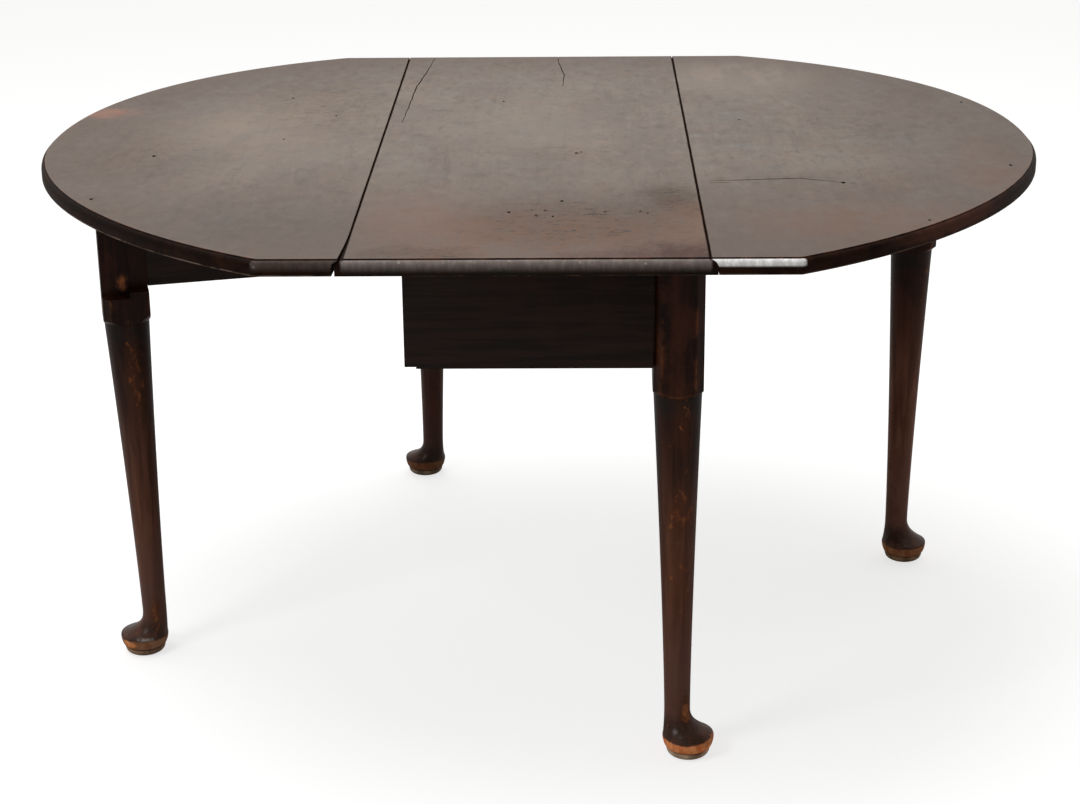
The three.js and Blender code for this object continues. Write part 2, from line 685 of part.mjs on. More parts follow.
// A rail with its fingers, cleared for the fingers of the other rail and bored for the pin.
function knuckleRail(opening, closing, far, first) {
  const reach = RAIL_THICKNESS / 2;
  const bar = pushed(knucklePlan(opening, closing, far), "z", OUTER_RAIL_BOTTOM, GATE_TOP);
  const pinHole = disc([0, 0], GATE_PIN_RADIUS + FIT);
  return bar
    .add(fingers(first, reach, 0))
    .subtract(fingers(1 - first, reach + FINGER_CLEARANCE, FIT / 2))
    .subtract(pushed(pinHole, "z", OUTER_RAIL_BOTTOM - OVERRUN, FRAME_TOP + OVERRUN));
}

// The left outer rail, from its knuckle back to the tenon in the back left leg.
function outerRail() {
  const far = FIXED_LEG_Y - BLOCK_HALF + GATE_PIN_FROM_CENTRE;
  const closing = RAIL_LINE - INNER_RAIL_FACE - FIT;
  const rail = knuckleRail(-RAIL_THICKNESS / 2, closing, far - FIT, 0);
  const tenon = block(
    [-TENON_THICKNESS / 2, TENON_THICKNESS / 2],
    [far - OVERRUN, far + TENON_LENGTH],
    tenonHeights(OUTER_RAIL_BOTTOM, FRAME_TOP, 0),
  );
  const joined = surface(rail.add(tenon)).translate(-RAIL_LINE, -GATE_PIN_FROM_CENTRE, 0);
  return pegHeights(OUTER_RAIL_BOTTOM, FRAME_TOP).reduce(
    (body, z) => body.subtract(railPeg(z, FIT)),
    solid(joined),
  );
}

// One peg through a gate's leg and the tenon of its rail, or its hole with a gap around it.
function gatePeg(length, z, gap) {
  const y = -length + BLOCK_HALF - PEG_SETBACK;
  const outer = -BLOCK_HALF - OVERRUN * Math.sign(gap);
  const inner = TENON_THICKNESS / 2 + PEG_PAST_TENON + gap;
  return pushed(disc([y, z], PEG_RADIUS + gap), "x", outer, inner, PEG_STEPS);
}

// The gate's rail as it lies when shut, from the pin to the tenon in its leg.
function gateRail(length) {
  const far = length - BLOCK_HALF;
  const rail = surface(knuckleRail(RAIL_THICKNESS / 2, -RAIL_THICKNESS / 2, far - FIT, 1));
  const tenon = block(
    [-TENON_THICKNESS / 2, TENON_THICKNESS / 2],
    [-far - TENON_LENGTH, -far + OVERRUN],
    tenonHeights(OUTER_RAIL_BOTTOM, GATE_TOP, 0),
  );
  return pegHeights(OUTER_RAIL_BOTTOM, GATE_TOP).reduce(
    (body, z) => body.subtract(gatePeg(length, z, FIT)),
    solid(rail.rotateZ(HALF_TURN)).add(tenon),
  );
}

// The gate's leg as it stands when shut: its block laps the free end of the apron in a rebate.
function gateLeg({ length, toe, ankleShift }) {
  const shape = surface(leg(toe, ankleShift, [2, 3], GATE_TOP)).translate(0, -length, 0);
  const step = -APRON_BACK + GATE_PIN_FROM_CENTRE + LAP_PAST_APRON;
  const across = [RAIL_THICKNESS / 2, BLOCK_HALF + OVERRUN];
  const rear = [-length - BLOCK_HALF - OVERRUN, step];
  const rebateAtApron = block(across, rear, [APRON_BOTTOM - LAP_BELOW_APRON, GATE_TOP + OVERRUN]);
  const rebateAtRail = block(
    across,
    [step, -length + BLOCK_HALF + OVERRUN],
    [INNER_RAIL_BOTTOM - LAP_BELOW_RAIL, GATE_TOP + OVERRUN],
  );
  const mortise = block(
    [-TENON_THICKNESS / 2 - FIT, TENON_THICKNESS / 2 + FIT],
    [-length + BLOCK_HALF - TENON_LENGTH - FIT, -length + BLOCK_HALF + OVERRUN],
    tenonHeights(OUTER_RAIL_BOTTOM, GATE_TOP, FIT),
  );
  return pegHeights(OUTER_RAIL_BOTTOM, GATE_TOP).reduce(
    (body, z) => body.subtract(gatePeg(length, z, FIT)),
    solid(shape).subtract(rebateAtApron).subtract(rebateAtRail).subtract(mortise),
  );
}

// The iron pin of the left gate, standing a little proud below.
function gatePin() {
  const centre = [-RAIL_LINE, -GATE_PIN_FROM_CENTRE];
  return pushed(disc(centre, GATE_PIN_RADIUS), "z", OUTER_RAIL_BOTTOM - GATE_PIN_PROUD, GATE_TOP);
}

// A glue block against the left inner rail and the top, bored for its screw.
function glueBlock(y) {
  const wall = -INNER_RAIL_BACK + FIT;
  const body = block(
    [wall, wall + GLUE_BLOCK_WIDTH],
    [y - GLUE_BLOCK_LENGTH / 2, y + GLUE_BLOCK_LENGTH / 2],
    [FRAME_TOP - GLUE_BLOCK_WIDTH, FRAME_TOP],
  );
  return body.subtract(screwHole(y));
}

// A screw up through a glue block into the top, or its hole with a gap around it.
function screw(y, gap) {
  const foot = FRAME_TOP - GLUE_BLOCK_WIDTH;
  const head = SCREW_HEAD_RADIUS + gap;
  const shank = SCREW_RADIUS + gap;
  const tip = UNDERSIDE + SCREW_BITE + gap;
  const mouth = gap > 0 ? [[0, foot - OVERRUN], [head, foot - OVERRUN]] : [[0, foot]];
  const profile = [...mouth, [head, foot], [shank, foot + SCREW_HEAD_HEIGHT], [shank, tip], [0, tip]];
  const points = profile.map(([radius, height]) => new THREE.Vector2(radius, height));
  const turned = new THREE.LatheGeometry(points, SCREW_FACETS).rotateX(QUARTER_TURN);
  const x = -INNER_RAIL_BACK + FIT + GLUE_BLOCK_WIDTH / 2;
  return solid(turned.translate(x, y, 0));
}

function screwHole(y) {
  return screw(y, FIT);
}

// Everything that the left side of the frame carries, named for the side and end where it is placed.
function frameGroup(side, end, corner) {
  const group = new THREE.Group();
  group.add(piece(corner + "_leg", fixedLeg(), LEG_WOOD));
  group.add(piece(end + "_apron", backApron(), RAIL_WOOD));
  group.add(piece(side + "_inner_rail", innerRail(), RAIL_WOOD));
  group.add(piece(side + "_outer_rail", outerRail(), RAIL_WOOD));
  group.add(piece(side + "_gate_pin", gatePin(), OLD_IRON));
  for (const [i, z] of pegHeights(APRON_BOTTOM, FRAME_TOP).entries()) {
    group.add(piece(end + "_apron_peg_" + (i + 1), apronPeg(z, 0), PEG_WOOD));
  }
  for (const [i, z] of pegHeights(OUTER_RAIL_BOTTOM, FRAME_TOP).entries()) {
    group.add(piece(side + "_rail_peg_" + (i + 1), railPeg(z, 0), PEG_WOOD));
  }
  for (const [i, y] of SCREW_PLACES.entries()) {
    group.add(piece(side + "_glue_block_" + (i + 1), glueBlock(y), RAIL_WOOD));
    group.add(piece(side + "_top_screw_" + (i + 1), screw(y, 0), OLD_IRON));
  }
  return group;
}

// A gate about its pin, turned from shut to where it stands open.
function gateGroup(side, gate) {
  const group = new THREE.Group();
  group.position.set(-RAIL_LINE, -GATE_PIN_FROM_CENTRE, 0);
  group.rotation.z = -gate.open;
  group.add(piece(side + "_gate_rail", gateRail(gate.length), RAIL_WOOD));
  group.add(piece(side + "_gate_leg", gateLeg(gate), LEG_WOOD));
  for (const [i, z] of pegHeights(OUTER_RAIL_BOTTOM, GATE_TOP).entries()) {
    group.add(piece(side + "_gate_peg_" + (i + 1), gatePeg(gate.length, z, 0), PEG_WOOD));
  }
  return group;
}

// The whole table: one half of the frame, with its gate, is like the other turned half round.
const leftSide = new THREE.Group();
leftSide.add(frameGroup("left", "back", "back_left"), gateGroup("left", LEFT_GATE));
const rightSide = new THREE.Group();
rightSide.add(frameGroup("right", "front", "front_right"), gateGroup("right", RIGHT_GATE));
rightSide.rotation.z = HALF_TURN;

const rightTop = leafGroup("right", OVAL_HALF_LENGTH + RIGHT_LEAF_EXTRA, FRONT_HALF, BACK_HALF);
const leftTop = leafGroup("left", OVAL_HALF_LENGTH, BACK_HALF, FRONT_HALF);
leftTop.rotation.z = HALF_TURN;

// Everything is drawn about the middle of the centre board, then moved to centre the oval.
const pieces = new THREE.Group();
pieces.add(piece("centre_board", centreBoard(), TOP_WOOD));
pieces.add(rightTop, leftTop, leftSide, rightSide);
pieces.position.x = -OVAL_CENTRE;

const table = new THREE.Group();
table.add(pieces);

export default table;
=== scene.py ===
import math

import bmesh
import bpy
from mathutils import Matrix, Vector

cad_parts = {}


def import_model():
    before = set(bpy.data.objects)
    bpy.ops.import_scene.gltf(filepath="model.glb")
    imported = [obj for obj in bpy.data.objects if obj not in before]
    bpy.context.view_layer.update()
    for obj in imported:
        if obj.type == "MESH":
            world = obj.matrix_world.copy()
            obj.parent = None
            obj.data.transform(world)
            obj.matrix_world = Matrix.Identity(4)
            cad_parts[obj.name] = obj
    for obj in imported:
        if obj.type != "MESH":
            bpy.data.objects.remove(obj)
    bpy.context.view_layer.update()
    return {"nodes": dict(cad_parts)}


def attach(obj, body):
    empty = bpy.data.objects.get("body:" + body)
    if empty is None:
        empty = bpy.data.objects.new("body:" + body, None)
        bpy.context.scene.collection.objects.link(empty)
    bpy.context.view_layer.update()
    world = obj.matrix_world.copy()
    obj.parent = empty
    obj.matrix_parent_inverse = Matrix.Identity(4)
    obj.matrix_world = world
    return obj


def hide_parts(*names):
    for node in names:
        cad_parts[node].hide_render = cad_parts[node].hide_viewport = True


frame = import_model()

NODES = frame["nodes"]
MM = 0.001

# Sizes in millimetres, as the CAD model has them, from the middle of the centre board. A size that
# only the scene has says so.
HEIGHT = 711.0
UNDERSIDE = 690.5
FRONT_HALF = (684.1, 1.83)  # half width and power of the curve
BACK_HALF = (646.0, 2.18)
RIGHT_OVAL = (707.1, FRONT_HALF, BACK_HALF)  # reach, then the half below and the half above
LEFT_OVAL = (697.4, BACK_HALF, FRONT_HALF)
OVAL_CENTRE = 4.85
END = 587.0
JOINT = 218.0
EDGE_ROUND = (5.5, 9.0)
EDGE_STEP = 2.0
RULE_AXIS = 698.0
OVOLO = 10.0
COVE = 10.8
EXTRA_LEVEL = 694.0  # a ring of each board's edge, below the rule joint
LEAST_RISE = 0.12  # from ring to ring
LIP_GAP = 1.6  # worn open; 1.0 in the CAD model
JOINT_RUB = 0.6  # only here, like the worn corner
WORN_CORNER = {"left": 5.0, "right": 0.0}
WORN_FROM = 462.0
WORN_ACROSS = 12.0
WORN_UP_TO = 240.0  # across, from the middle
HINGE_FROM_CENTRE = 330.0
HINGE_HALF = 19.3
FLAP_TOP = 696.3
FIXED_FLAP_REACH = 40.3
LEAF_FLAP_REACH = 70.3
KNUCKLE_ROOM = 5.0
SCREW_X = 117.8
SCREW_Y = 300.0
SCREW_HOLE = (2.5, 11.3)  # radius and depth

# Flaws of the flat, only here.
CRACK_DEPTH = 3.0
CRACK_STEP = 14
PIT_DEPTH = 1.6
FLAW_REACH = 8.5
PAST_FLAT = 2.0  # how far cutters stand out of the flat, and out of other faces
PAST_WOOD = 5.0

# Screws of a table hinge, only here: across from the joint, along from the hinge's middle.
HINGE_SCREWS = ((-28, -11), (-28, 11), (-14, 0), (30, -11), (30, 11), (58, 0))
SCREW_HEAD = ((-0.5, 2.4), (-0.25, 3.2), (0.0, 3.6), (0.3, 3.4))  # rise and radius
SCREW_FACE = 693.5

# Legs.
BLOCK_HALF = 31.7
LEG_BEVEL = 10.0
SHOULDER = 507.5
SHAFT_TOP = 521.5
SHAFT_RADIUS = 31.45
ANKLE = (65.0, 17.1)
TAPER_POWER = 1.33
TRUMPET_POWER = 3.0
PAD_REACH = 17.0
FOOT_PROFILE = (  # height and radius of the shoe, the groove and the pad's rim
    (0.0, 22.6), (0.6, 24.0), (1.8, 25.8), (3.6, 27.4), (6.0, 28.4), (8.6, 28.9), (9.8, 28.6),
    (10.2, 26.8), (11.3, 26.8), (11.6, 29.3), (12.6, 30.6), (15.0, 31.8), (18.0, 32.8),
    (21.5, 33.6), (25.0, 34.0), (27.4, 33.9))
PAD_TOP = 29.0
PAD_RADIUS = 34.0
FIXED_LEG = (-186.3, 484.0)
FIXED_ANKLE_SHIFT = 5.5
FIXED_TOE = 149.0
GATE_PIN = (166.7, 88.0)
GATES = {
    "left": {"length": 410.25, "open": 75.4, "toe": 255.0, "shift": -8.3},
    "right": {"length": 403.25, "open": 82.5, "toe": 214.5, "shift": -3.0},
}
LEG_ANGLES = 96

# Rails, and the joints cut into the legs. A box is its low and its high corner.
FRAME_TOP = 690.2
GATE_TOP = 690.1
APRON_BOTTOM = 547.0
RAIL_BOTTOM = 557.0
APRON_MORTISE = ((-180.9, 498.7, 562.7), (-149.0, 507.3, 674.5))
RAIL_MORTISE = ((-171.0, 447.0, 572.7), (-162.4, 478.6, 674.5))
APRON_PEG_HOLE = ((-166.6, 496.2), (-166.6, 521.0))  # from and to
RAIL_PEG_HOLE = ((-223.0, 464.3), (-159.9, 464.3))
GATE_MORTISE = (4.3, 572.7, 674.4)  # half its thickness, then its low and high end
GATE_MORTISE_FROM = 5.4  # from the leg's centre towards the pin
GATE_PEG_HOLE = (19.7, 6.8)  # from the centre towards the pin, and where it ends across
LAP_FACE = 12.0  # how deep the block of a gate leg is rebated, from its centre
LAP_STEP = -404.5  # where the deeper lap of the apron ends
PAST_BLOCK = 37.0
PEG_BORE = 3.56
PEG_FROM_EDGE = 34.0

FLOOR_HALF = 9000.0

# The camera, solved from the photo.
FOCAL_PIXELS = 2237.9
PHOTO_WIDTH = 1080
SENSOR = 36.0
CAMERA_PLACE = (0.05773, -3.1259, 1.4776)
CAMERA_TURN = (0.0187, 0.3569, -0.0095)  # yaw, pitch and roll


# ---- mesh helpers

def linked(name, data):
    """A new object in the scene."""
    made = bpy.data.objects.new(name, data)
    bpy.context.scene.collection.objects.link(made)
    return made


def placed(name, points, faces, wear=None):
    """A new object from points in millimetres, with the wear of each point as an attribute."""
    mesh = bpy.data.meshes.new(name)
    mesh.from_pydata([Vector(p) * MM for p in points], [], faces)
    mesh.update()
    if wear is not None:
        layer = mesh.attributes.new("wear", "FLOAT", "POINT")
        layer.data.foreach_set("value", wear)
    return linked(name, mesh)


def skinned(rings):
    """Points and faces of a closed skin over rings of equal length, lowest first."""
    count = len(rings[0])
    points = [p for ring in rings for p in ring]
    faces = [list(range(count))[::-1]]
    for start in range(0, count * (len(rings) - 1), count):
        for i in range(count):
            j = (i + 1) % count
            faces.append([start + i, start + j, start + j + count, start + i + count])
    top = count * (len(rings) - 1)
    faces.append([top + i for i in range(count)])
    return points, faces


def box(name, low, high):
    """A box between two corners."""
    corners = [(x, y, z) for z in (low[2], high[2]) for x, y in (
        (low[0], low[1]), (high[0], low[1]), (high[0], high[1]), (low[0], high[1]))]
    faces = [(3, 2, 1, 0), (4, 5, 6, 7), (0, 1, 5, 4), (1, 2, 6, 5), (2, 3, 7, 6), (3, 0, 4, 7)]
    return placed(name, corners, faces)


def circle(count):
    """Evenly spread angles."""
    return [math.tau * i / count for i in range(count)]


def rod(name, start, end, radius, sides=24):
    """A round bar between two points."""
    start, end = Vector(start), Vector(end)
    turn = (end - start).to_track_quat("Z", "Y")
    spokes = [turn @ Vector((radius * math.cos(a), radius * math.sin(a), 0)) for a in circle(sides)]
    return placed(name, *skinned([[at + spoke for spoke in spokes] for at in (start, end)]))


def settle(obj):
    """Apply the object's modifiers to its mesh."""
    graph = bpy.context.evaluated_depsgraph_get()
    mesh = bpy.data.meshes.new_from_object(obj.evaluated_get(graph))
    obj.modifiers.clear()
    obj.data = mesh


def carve(obj, cutters):
    """Cut the cutters out of the object, and bring it to where the oval is centred."""
    for cutter in cutters:
        cut = obj.modifiers.new("cut", "BOOLEAN")
        cut.operation = "DIFFERENCE"
        cut.solver = "EXACT"
        cut.object = cutter
    settle(obj)
    obj.data.transform(Matrix.Translation((-OVAL_CENTRE * MM, 0, 0)))
    for cutter in cutters:
        bpy.data.objects.remove(cutter)


def finish(obj, material, body, ease):
    """Soften the object's arrises, and give it its material and the body it moves with."""
    for face in obj.data.polygons:
        face.use_smooth = True
    soft = obj.modifiers.new("soft arrises", "BEVEL")
    soft.width = ease * MM
    soft.segments = 2
    soft.limit_method = "ANGLE"
    soft.angle_limit = math.radians(32)
    soft.harden_normals = True
    settle(obj)
    obj.data.materials.clear()
    obj.data.materials.append(material)
    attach(obj, body)


FLAT, EDGE, DIRT = 0, 1, 2  # the materials of a board


def tint_edges(obj, name, edge, dirt):
    """Give the board its edge material off the flat, and dirt in its joints, cracks and dents."""
    obj.data.materials.append(edge)
    obj.data.materials.append(dirt)
    corners = obj.data.vertices
    spots = [p for points, _, sway in CRACKS[name] for p in wandering(points, sway)]
    spots += [centre for centre, _ in PITS[name]]

    def near_flaw(place):
        return any(math.hypot(place.x - x, place.y - y) < FLAW_REACH for x, y in spots)

    for face in obj.data.polygons:
        places = [corners[i].co / MM + Vector((OVAL_CENTRE, 0, 0)) for i in face.vertices]
        lowest = min(p.z for p in places)
        off = max(abs(abs(p.x) - JOINT - LIP_GAP / 2) for p in places) - LIP_GAP / 2
        if off < JOINT_RUB + 0.1 and lowest > RULE_AXIS:
            face.material_index = DIRT
        elif lowest > HEIGHT - 0.06:
            face.material_index = FLAT
        elif lowest > HEIGHT - CRACK_DEPTH - 1 and near_flaw(places[0]):
            face.material_index = DIRT
        else:
            face.material_index = EDGE


# ---- materials

class Nodes:
    """The nodes of one tree, each made with its inputs set or linked."""

    def __init__(self, tree):
        self.tree = tree

    def node(self, kind, inputs=None, output=0, **settings):
        made = self.tree.nodes.new("ShaderNode" + kind)
        for key, value in settings.items():
            setattr(made, key, value)
        for socket, value in (inputs or {}).items():
            self.feed(made.inputs[socket], value)
        return made.outputs[output]

    def feed(self, socket, value):
        if isinstance(value, bpy.types.NodeSocket):
            self.tree.links.new(value, socket)
        else:
            socket.default_value = value

    def ramp(self, value, low, high, bottom=0.0, top=1.0):
        """A smooth step from bottom to top as the value goes from low to high."""
        inputs = {"Value": value, "From Min": low, "From Max": high,
                  "To Min": bottom, "To Max": top}
        return self.node("MapRange", inputs, interpolation_type="SMOOTHSTEP")


class Recipe(Nodes):
    """One procedural material, over places from the middle of the centre board."""

    def __init__(self, name):
        self.material = bpy.data.materials.new(name)
        self.material.use_nodes = True
        super().__init__(self.material.node_tree)
        self.shader = self.tree.nodes["Principled BSDF"]
        place = self.node("TexCoord", output="Object")
        self.place = self.vector("ADD", place, (OVAL_CENTRE * MM, 0, 0))

    def math(self, operation, a, b=0.0):
        return self.node("Math", {0: a, 1: b}, operation=operation)

    def fold(self, operation, values):
        """All values taken together by one operation."""
        total = values[0]
        for value in values[1:]:
            total = self.math(operation, total, value)
        return total

    def times(self, *values):
        return self.fold("MULTIPLY", values)

    def plus(self, *values):
        return self.fold("ADD", values)

    def minus(self, a, b):
        return self.math("SUBTRACT", a, b)

    def most(self, *values):
        return self.fold("MAXIMUM", values)

    def vector(self, operation, a, b=(0.0, 0.0, 0.0), output=0):
        return self.node("VectorMath", {0: a, 1: b}, output, operation=operation)

    def stain(self, base, field, low, high, share, colour):
        """The base, with a colour over it where a field goes from low to high."""
        return self.mix(self.times(self.ramp(field, low, high), share), base, colour)

    def stretched(self, stretch, turn=0.0, shift=(0.0, 0.0, 0.0)):
        """The place on the object, turned about Z and then stretched."""
        turned = self.node(
            "Mapping", {"Vector": self.place, "Rotation": (0, 0, turn), "Location": shift})
        return self.node("Mapping", {"Vector": turned, "Scale": stretch})

    def noise(self, vector, scale, detail=4.0, roughness=0.55, distortion=0.0):
        inputs = {"Vector": vector, "Scale": scale, "Detail": detail,
                  "Roughness": roughness, "Distortion": distortion}
        return self.node("TexNoise", inputs)

    def mix(self, share, a, b, blend="MIX"):
        a, b = (c if isinstance(c, bpy.types.NodeSocket) else (*c, 1.0) for c in (a, b))
        return self.node("Mix", {0: share, 6: a, 7: b}, 2, data_type="RGBA", blend_type=blend)

    def axes(self):
        made = self.tree.nodes.new("ShaderNodeSeparateXYZ")
        self.feed(made.inputs[0], self.place)
        return made.outputs

    def shaken(self, amount, scale):
        """The place on the object, moved about a little for ragged outlines."""
        about = self.node(
            "TexNoise", {"Vector": self.place, "Scale": scale, "Detail": 3.0}, output="Color")
        off = self.vector("SUBTRACT", about, (0.5, 0.5, 0.5))
        return self.vector("ADD", self.place, self.vector("MULTIPLY", off, [amount * MM] * 3))

    def distance(self, place, centre, radii):
        """How many radii a place is from a centre. Both are in millimetres."""
        centre, radii = ([v * MM for v in row] for row in (centre, radii))
        away = self.vector("DIVIDE", self.vector("SUBTRACT", place, centre), radii)
        return self.vector("LENGTH", away, output="Value")

    def spot(self, place, centre, radii, soft):
        """One inside an ellipsoid given in millimetres, falling to nought at its rim."""
        return self.ramp(self.distance(place, centre, radii), 1.0 - soft, 1.0, 1.0, 0.0)

    def bump(self, height, strength, distance):
        made = self.node(
            "Bump", {"Height": height, "Strength": strength, "Distance": distance * MM})
        self.feed(self.shader.inputs["Normal"], made)

    def done(self, colour, roughness, specular):
        self.feed(self.shader.inputs["Base Color"], colour)
        self.feed(self.shader.inputs["Roughness"], roughness)
        self.shader.inputs["Specular IOR Level"].default_value = specular
        return self.material


def wood_noises(r, seed):
    """The unevenness that the flat and the mouldings of a board share."""
    blotch = r.noise(r.stretched((1, 0.7, 1), shift=(seed, seed, 0)), 7.0, 5.0, 0.62)
    cloud = r.noise(r.stretched((1, 0.8, 1), shift=(0, seed, 0)), 19.0, 6.0, 0.65, 0.6)
    grain = r.noise(r.stretched((120, 7, 40), shift=(seed, 0, 0)), 1.0, 6.0, 0.6, 0.4)
    fleck = r.noise(r.stretched((150, 90, 60)), 1.0, 3.0, 0.7)
    return blotch, cloud, grain, fleck


def rubbed_arris(r):
    """Where hands have rubbed the arris of a board, from the wear of its points."""
    wear = r.node("Attribute", attribute_name="wear", output="Fac")
    return r.times(wear, r.ramp(r.noise(r.stretched((40, 40, 90)), 1.0, 4.0, 0.6), 0.42, 0.60))


def flat_wood(name, seed, patches, dented):
    """The upper face of a board: old polished hardwood, faded grey-brown, stained and mottled."""
    r = Recipe(name)
    x, y = r.axes()[:2]
    ragged = r.shaken(60.0, 30.0)
    blotch, cloud, grain, fleck = wood_noises(r, seed)
    streak = r.noise(r.stretched((34, 3.2, 10), shift=(0, seed, 0)), 1.0, 6.0, 0.68, 0.8)
    mottle = r.noise(r.stretched((1, 0.55, 1), shift=(seed, 0, 0)), 62.0, 5.0, 0.70, 0.4)
    pores = r.noise(r.stretched((700, 60, 60)), 1.0, 2.0, 0.5)

    flat = r.mix(r.ramp(blotch, 0.34, 0.66), (0.094, 0.068, 0.053), (0.132, 0.102, 0.080))
    flat = r.stain(flat, cloud, 0.50, 0.70, 0.50, (0.150, 0.096, 0.064))
    flat = r.stain(flat, cloud, 0.46, 0.30, 0.50, (0.092, 0.084, 0.070))
    away = r.distance(r.place, (0, 0, 0), (720, 670, 100000))
    rim = r.most(r.ramp(r.plus(away, r.times(blotch, 0.2)), 0.66, 1.06, 0.0, 0.80),
                 r.ramp(r.plus(y, r.times(blotch, 0.1)), 0.00, -0.46, 0.0, 0.85))
    flat = r.stain(flat, mottle, 0.46, 0.32, 0.30, (0.190, 0.146, 0.112))
    flat = r.mix(rim, flat, (0.060, 0.034, 0.021))
    flat = r.stain(flat, mottle, 0.52, 0.68, 0.50, (0.050, 0.034, 0.024))
    flat = r.stain(flat, streak, 0.58, 0.74, 0.60, (0.050, 0.034, 0.024))
    flat = r.stain(flat, grain, 0.52, 0.72, 0.35, (0.058, 0.041, 0.032))
    flat = r.stain(flat, pores, 0.60, 0.74, 0.30, (0.045, 0.031, 0.024))
    flat = r.stain(flat, fleck, 0.64, 0.76, 0.40, (0.028, 0.019, 0.014))

    rough = r.plus(r.times(blotch, 0.20), r.times(cloud, 0.18), r.times(mottle, 0.14), 0.15)
    torn = r.plus(r.times(r.plus(cloud, streak), 0.5), r.times(mottle, 0.5))
    torn = r.ramp(torn, 0.64, 0.82, 0.35, 1.0)

    def area(centre, radii, soft):
        return r.spot(ragged, (*centre, HEIGHT), (*radii, 90.0), soft)

    for centre, radii, colour, share in patches:
        flat = r.mix(r.times(area(centre, radii, 0.9), torn, share), flat, colour)

    dashes = r.noise(r.stretched((62, 190, 60), shift=(seed, seed, 0)), 1.0, 3.0, 0.65, 1.4)
    struck = r.most(*(r.times(area(centre, radii, 0.8), share) for centre, radii, share in dented))
    dashed = r.times(r.ramp(dashes, 0.580, 0.615), r.plus(struck, 0.10))
    flat = r.mix(dashed, flat, (0.012, 0.007, 0.004))

    # Dirt along the two joints.
    off = r.math("ABSOLUTE", r.minus(r.math("ABSOLUTE", x), (JOINT + LIP_GAP / 2) * MM))
    off = r.plus(off, r.times(r.minus(cloud, 0.5), 0.0030))
    seam = r.ramp(off, 0.0014, 0.0026, 1.0, 0.0)
    flat = r.mix(r.times(seam, 0.60), flat, (0.030, 0.014, 0.008))
    rough = r.plus(rough, r.times(struck, 0.20), r.times(seam, 0.5))

    flat = r.mix(r.times(rubbed_arris(r), 0.45), flat, (0.15, 0.052, 0.024))

    relief = r.plus(r.times(grain, 0.35), r.times(pores, 0.20), r.times(blotch, 0.9),
                    r.times(mottle, 0.45), r.times(dashed, -1.6))
    r.bump(relief, 0.35, 0.35)
    return r.done(flat, rough, 0.28)


def edge_wood(name, seed, sheen_strips, painted_light_and_shade, arris, rub):
    """The moulded edge and underside of a board: near black outside, bare and dull below, with
    painted highlights, painted shade and a painted sheen on its mouldings.
    """
    r = Recipe(name)
    x, y, z = r.axes()
    cloud, grain, fleck = wood_noises(r, seed)[1:]
    edge = r.mix(r.ramp(cloud, 0.38, 0.62), (0.0065, 0.0022, 0.0010), (0.019, 0.0062, 0.0026))
    edge = r.stain(edge, fleck, 0.62, 0.72, 0.4, (0.050, 0.028, 0.018))
    low = r.ramp(z, (UNDERSIDE + 2.2) * MM, (UNDERSIDE + 0.8) * MM)
    edge = r.mix(r.times(low, r.ramp(cloud, 0.40, 0.56), arris), edge, (0.22, 0.17, 0.14))
    under = r.mix(r.ramp(grain, 0.4, 0.65), (0.060, 0.037, 0.024), (0.105, 0.068, 0.045))
    edge = r.mix(r.ramp(z, (UNDERSIDE + 0.9) * MM, (UNDERSIDE + 0.3) * MM), edge, under)

    colour = r.mix(r.times(rubbed_arris(r), rub), edge, (0.17, 0.062, 0.028))
    # Painted highlights, and painted shade, laid on the mouldings in soft spots.
    for centre, radii, tint, share in painted_light_and_shade:
        mask = r.spot(r.shaken(16.0, 60.0), centre, radii, 0.7)
        colour = r.mix(r.times(mask, share), colour, tint)

    # A painted sheen: the straight front moulding is painted pale where it reflects light, mottled
    # a little.
    front = r.ramp(y, -(END - 6.2) * MM, -(END - 5.6) * MM)
    for near, far, low_z, high_z, tint, share in sheen_strips:
        span = r.times(r.ramp(x, near * MM, (near + 4) * MM), r.ramp(x, far * MM, (far - 4) * MM))
        level = r.times(r.ramp(z, low_z * MM, high_z * MM),
                        r.ramp(z, (HEIGHT - 1.6) * MM, (HEIGHT - 2.2) * MM))
        painted_sheen = r.times(front, span, level, r.ramp(fleck, 0.34, 0.60, 1.0, 0.72))
        colour = r.mix(r.times(painted_sheen, share), colour, tint)

    r.bump(r.plus(r.times(grain, 0.35), r.times(cloud, 0.5)), 0.35, 0.35)
    return r.done(colour, r.plus(r.times(cloud, 0.25), 0.42), 0.05)


def joint_dirt(name):
    """The black dust and old wax that fills joints, cracks and dents."""
    r = Recipe(name)
    cloud = r.noise(r.place, 90.0, 4.0, 0.6)
    colour = r.mix(r.ramp(cloud, 0.40, 0.62), (0.0035, 0.0022, 0.0016), (0.0120, 0.0062, 0.0040))
    return r.done(colour, r.plus(r.times(cloud, 0.1), 0.85), 0.0)


PLAIN = (1.0, 1.0, 1.0)

# Heights on a leg, in metres: where a colour or a polish begins, and where it is full.
PALE_BELOW = (0.49, 0.24)
FADED_BELOW = (0.24, 0.10)
FLAKED_BELOW = (0.30, 0.06)
UNDER_SHOULDER = ((0.470, 0.492), (0.5085, 0.504))  # under the shoulder; upwards and downwards
POLISH = ((0.0285, 0.0310), (0.060, 0.040))  # over the pad
DUSKY_BELOW = (0.064, 0.042)
RIM_ABOVE = (0.0108, 0.0122)
RIM_BELOW = (0.0275, 0.0245)
SHOE_BELOW = (0.0108, 0.0098)


def scaled(colour, share):
    return [share * c for c in colour]


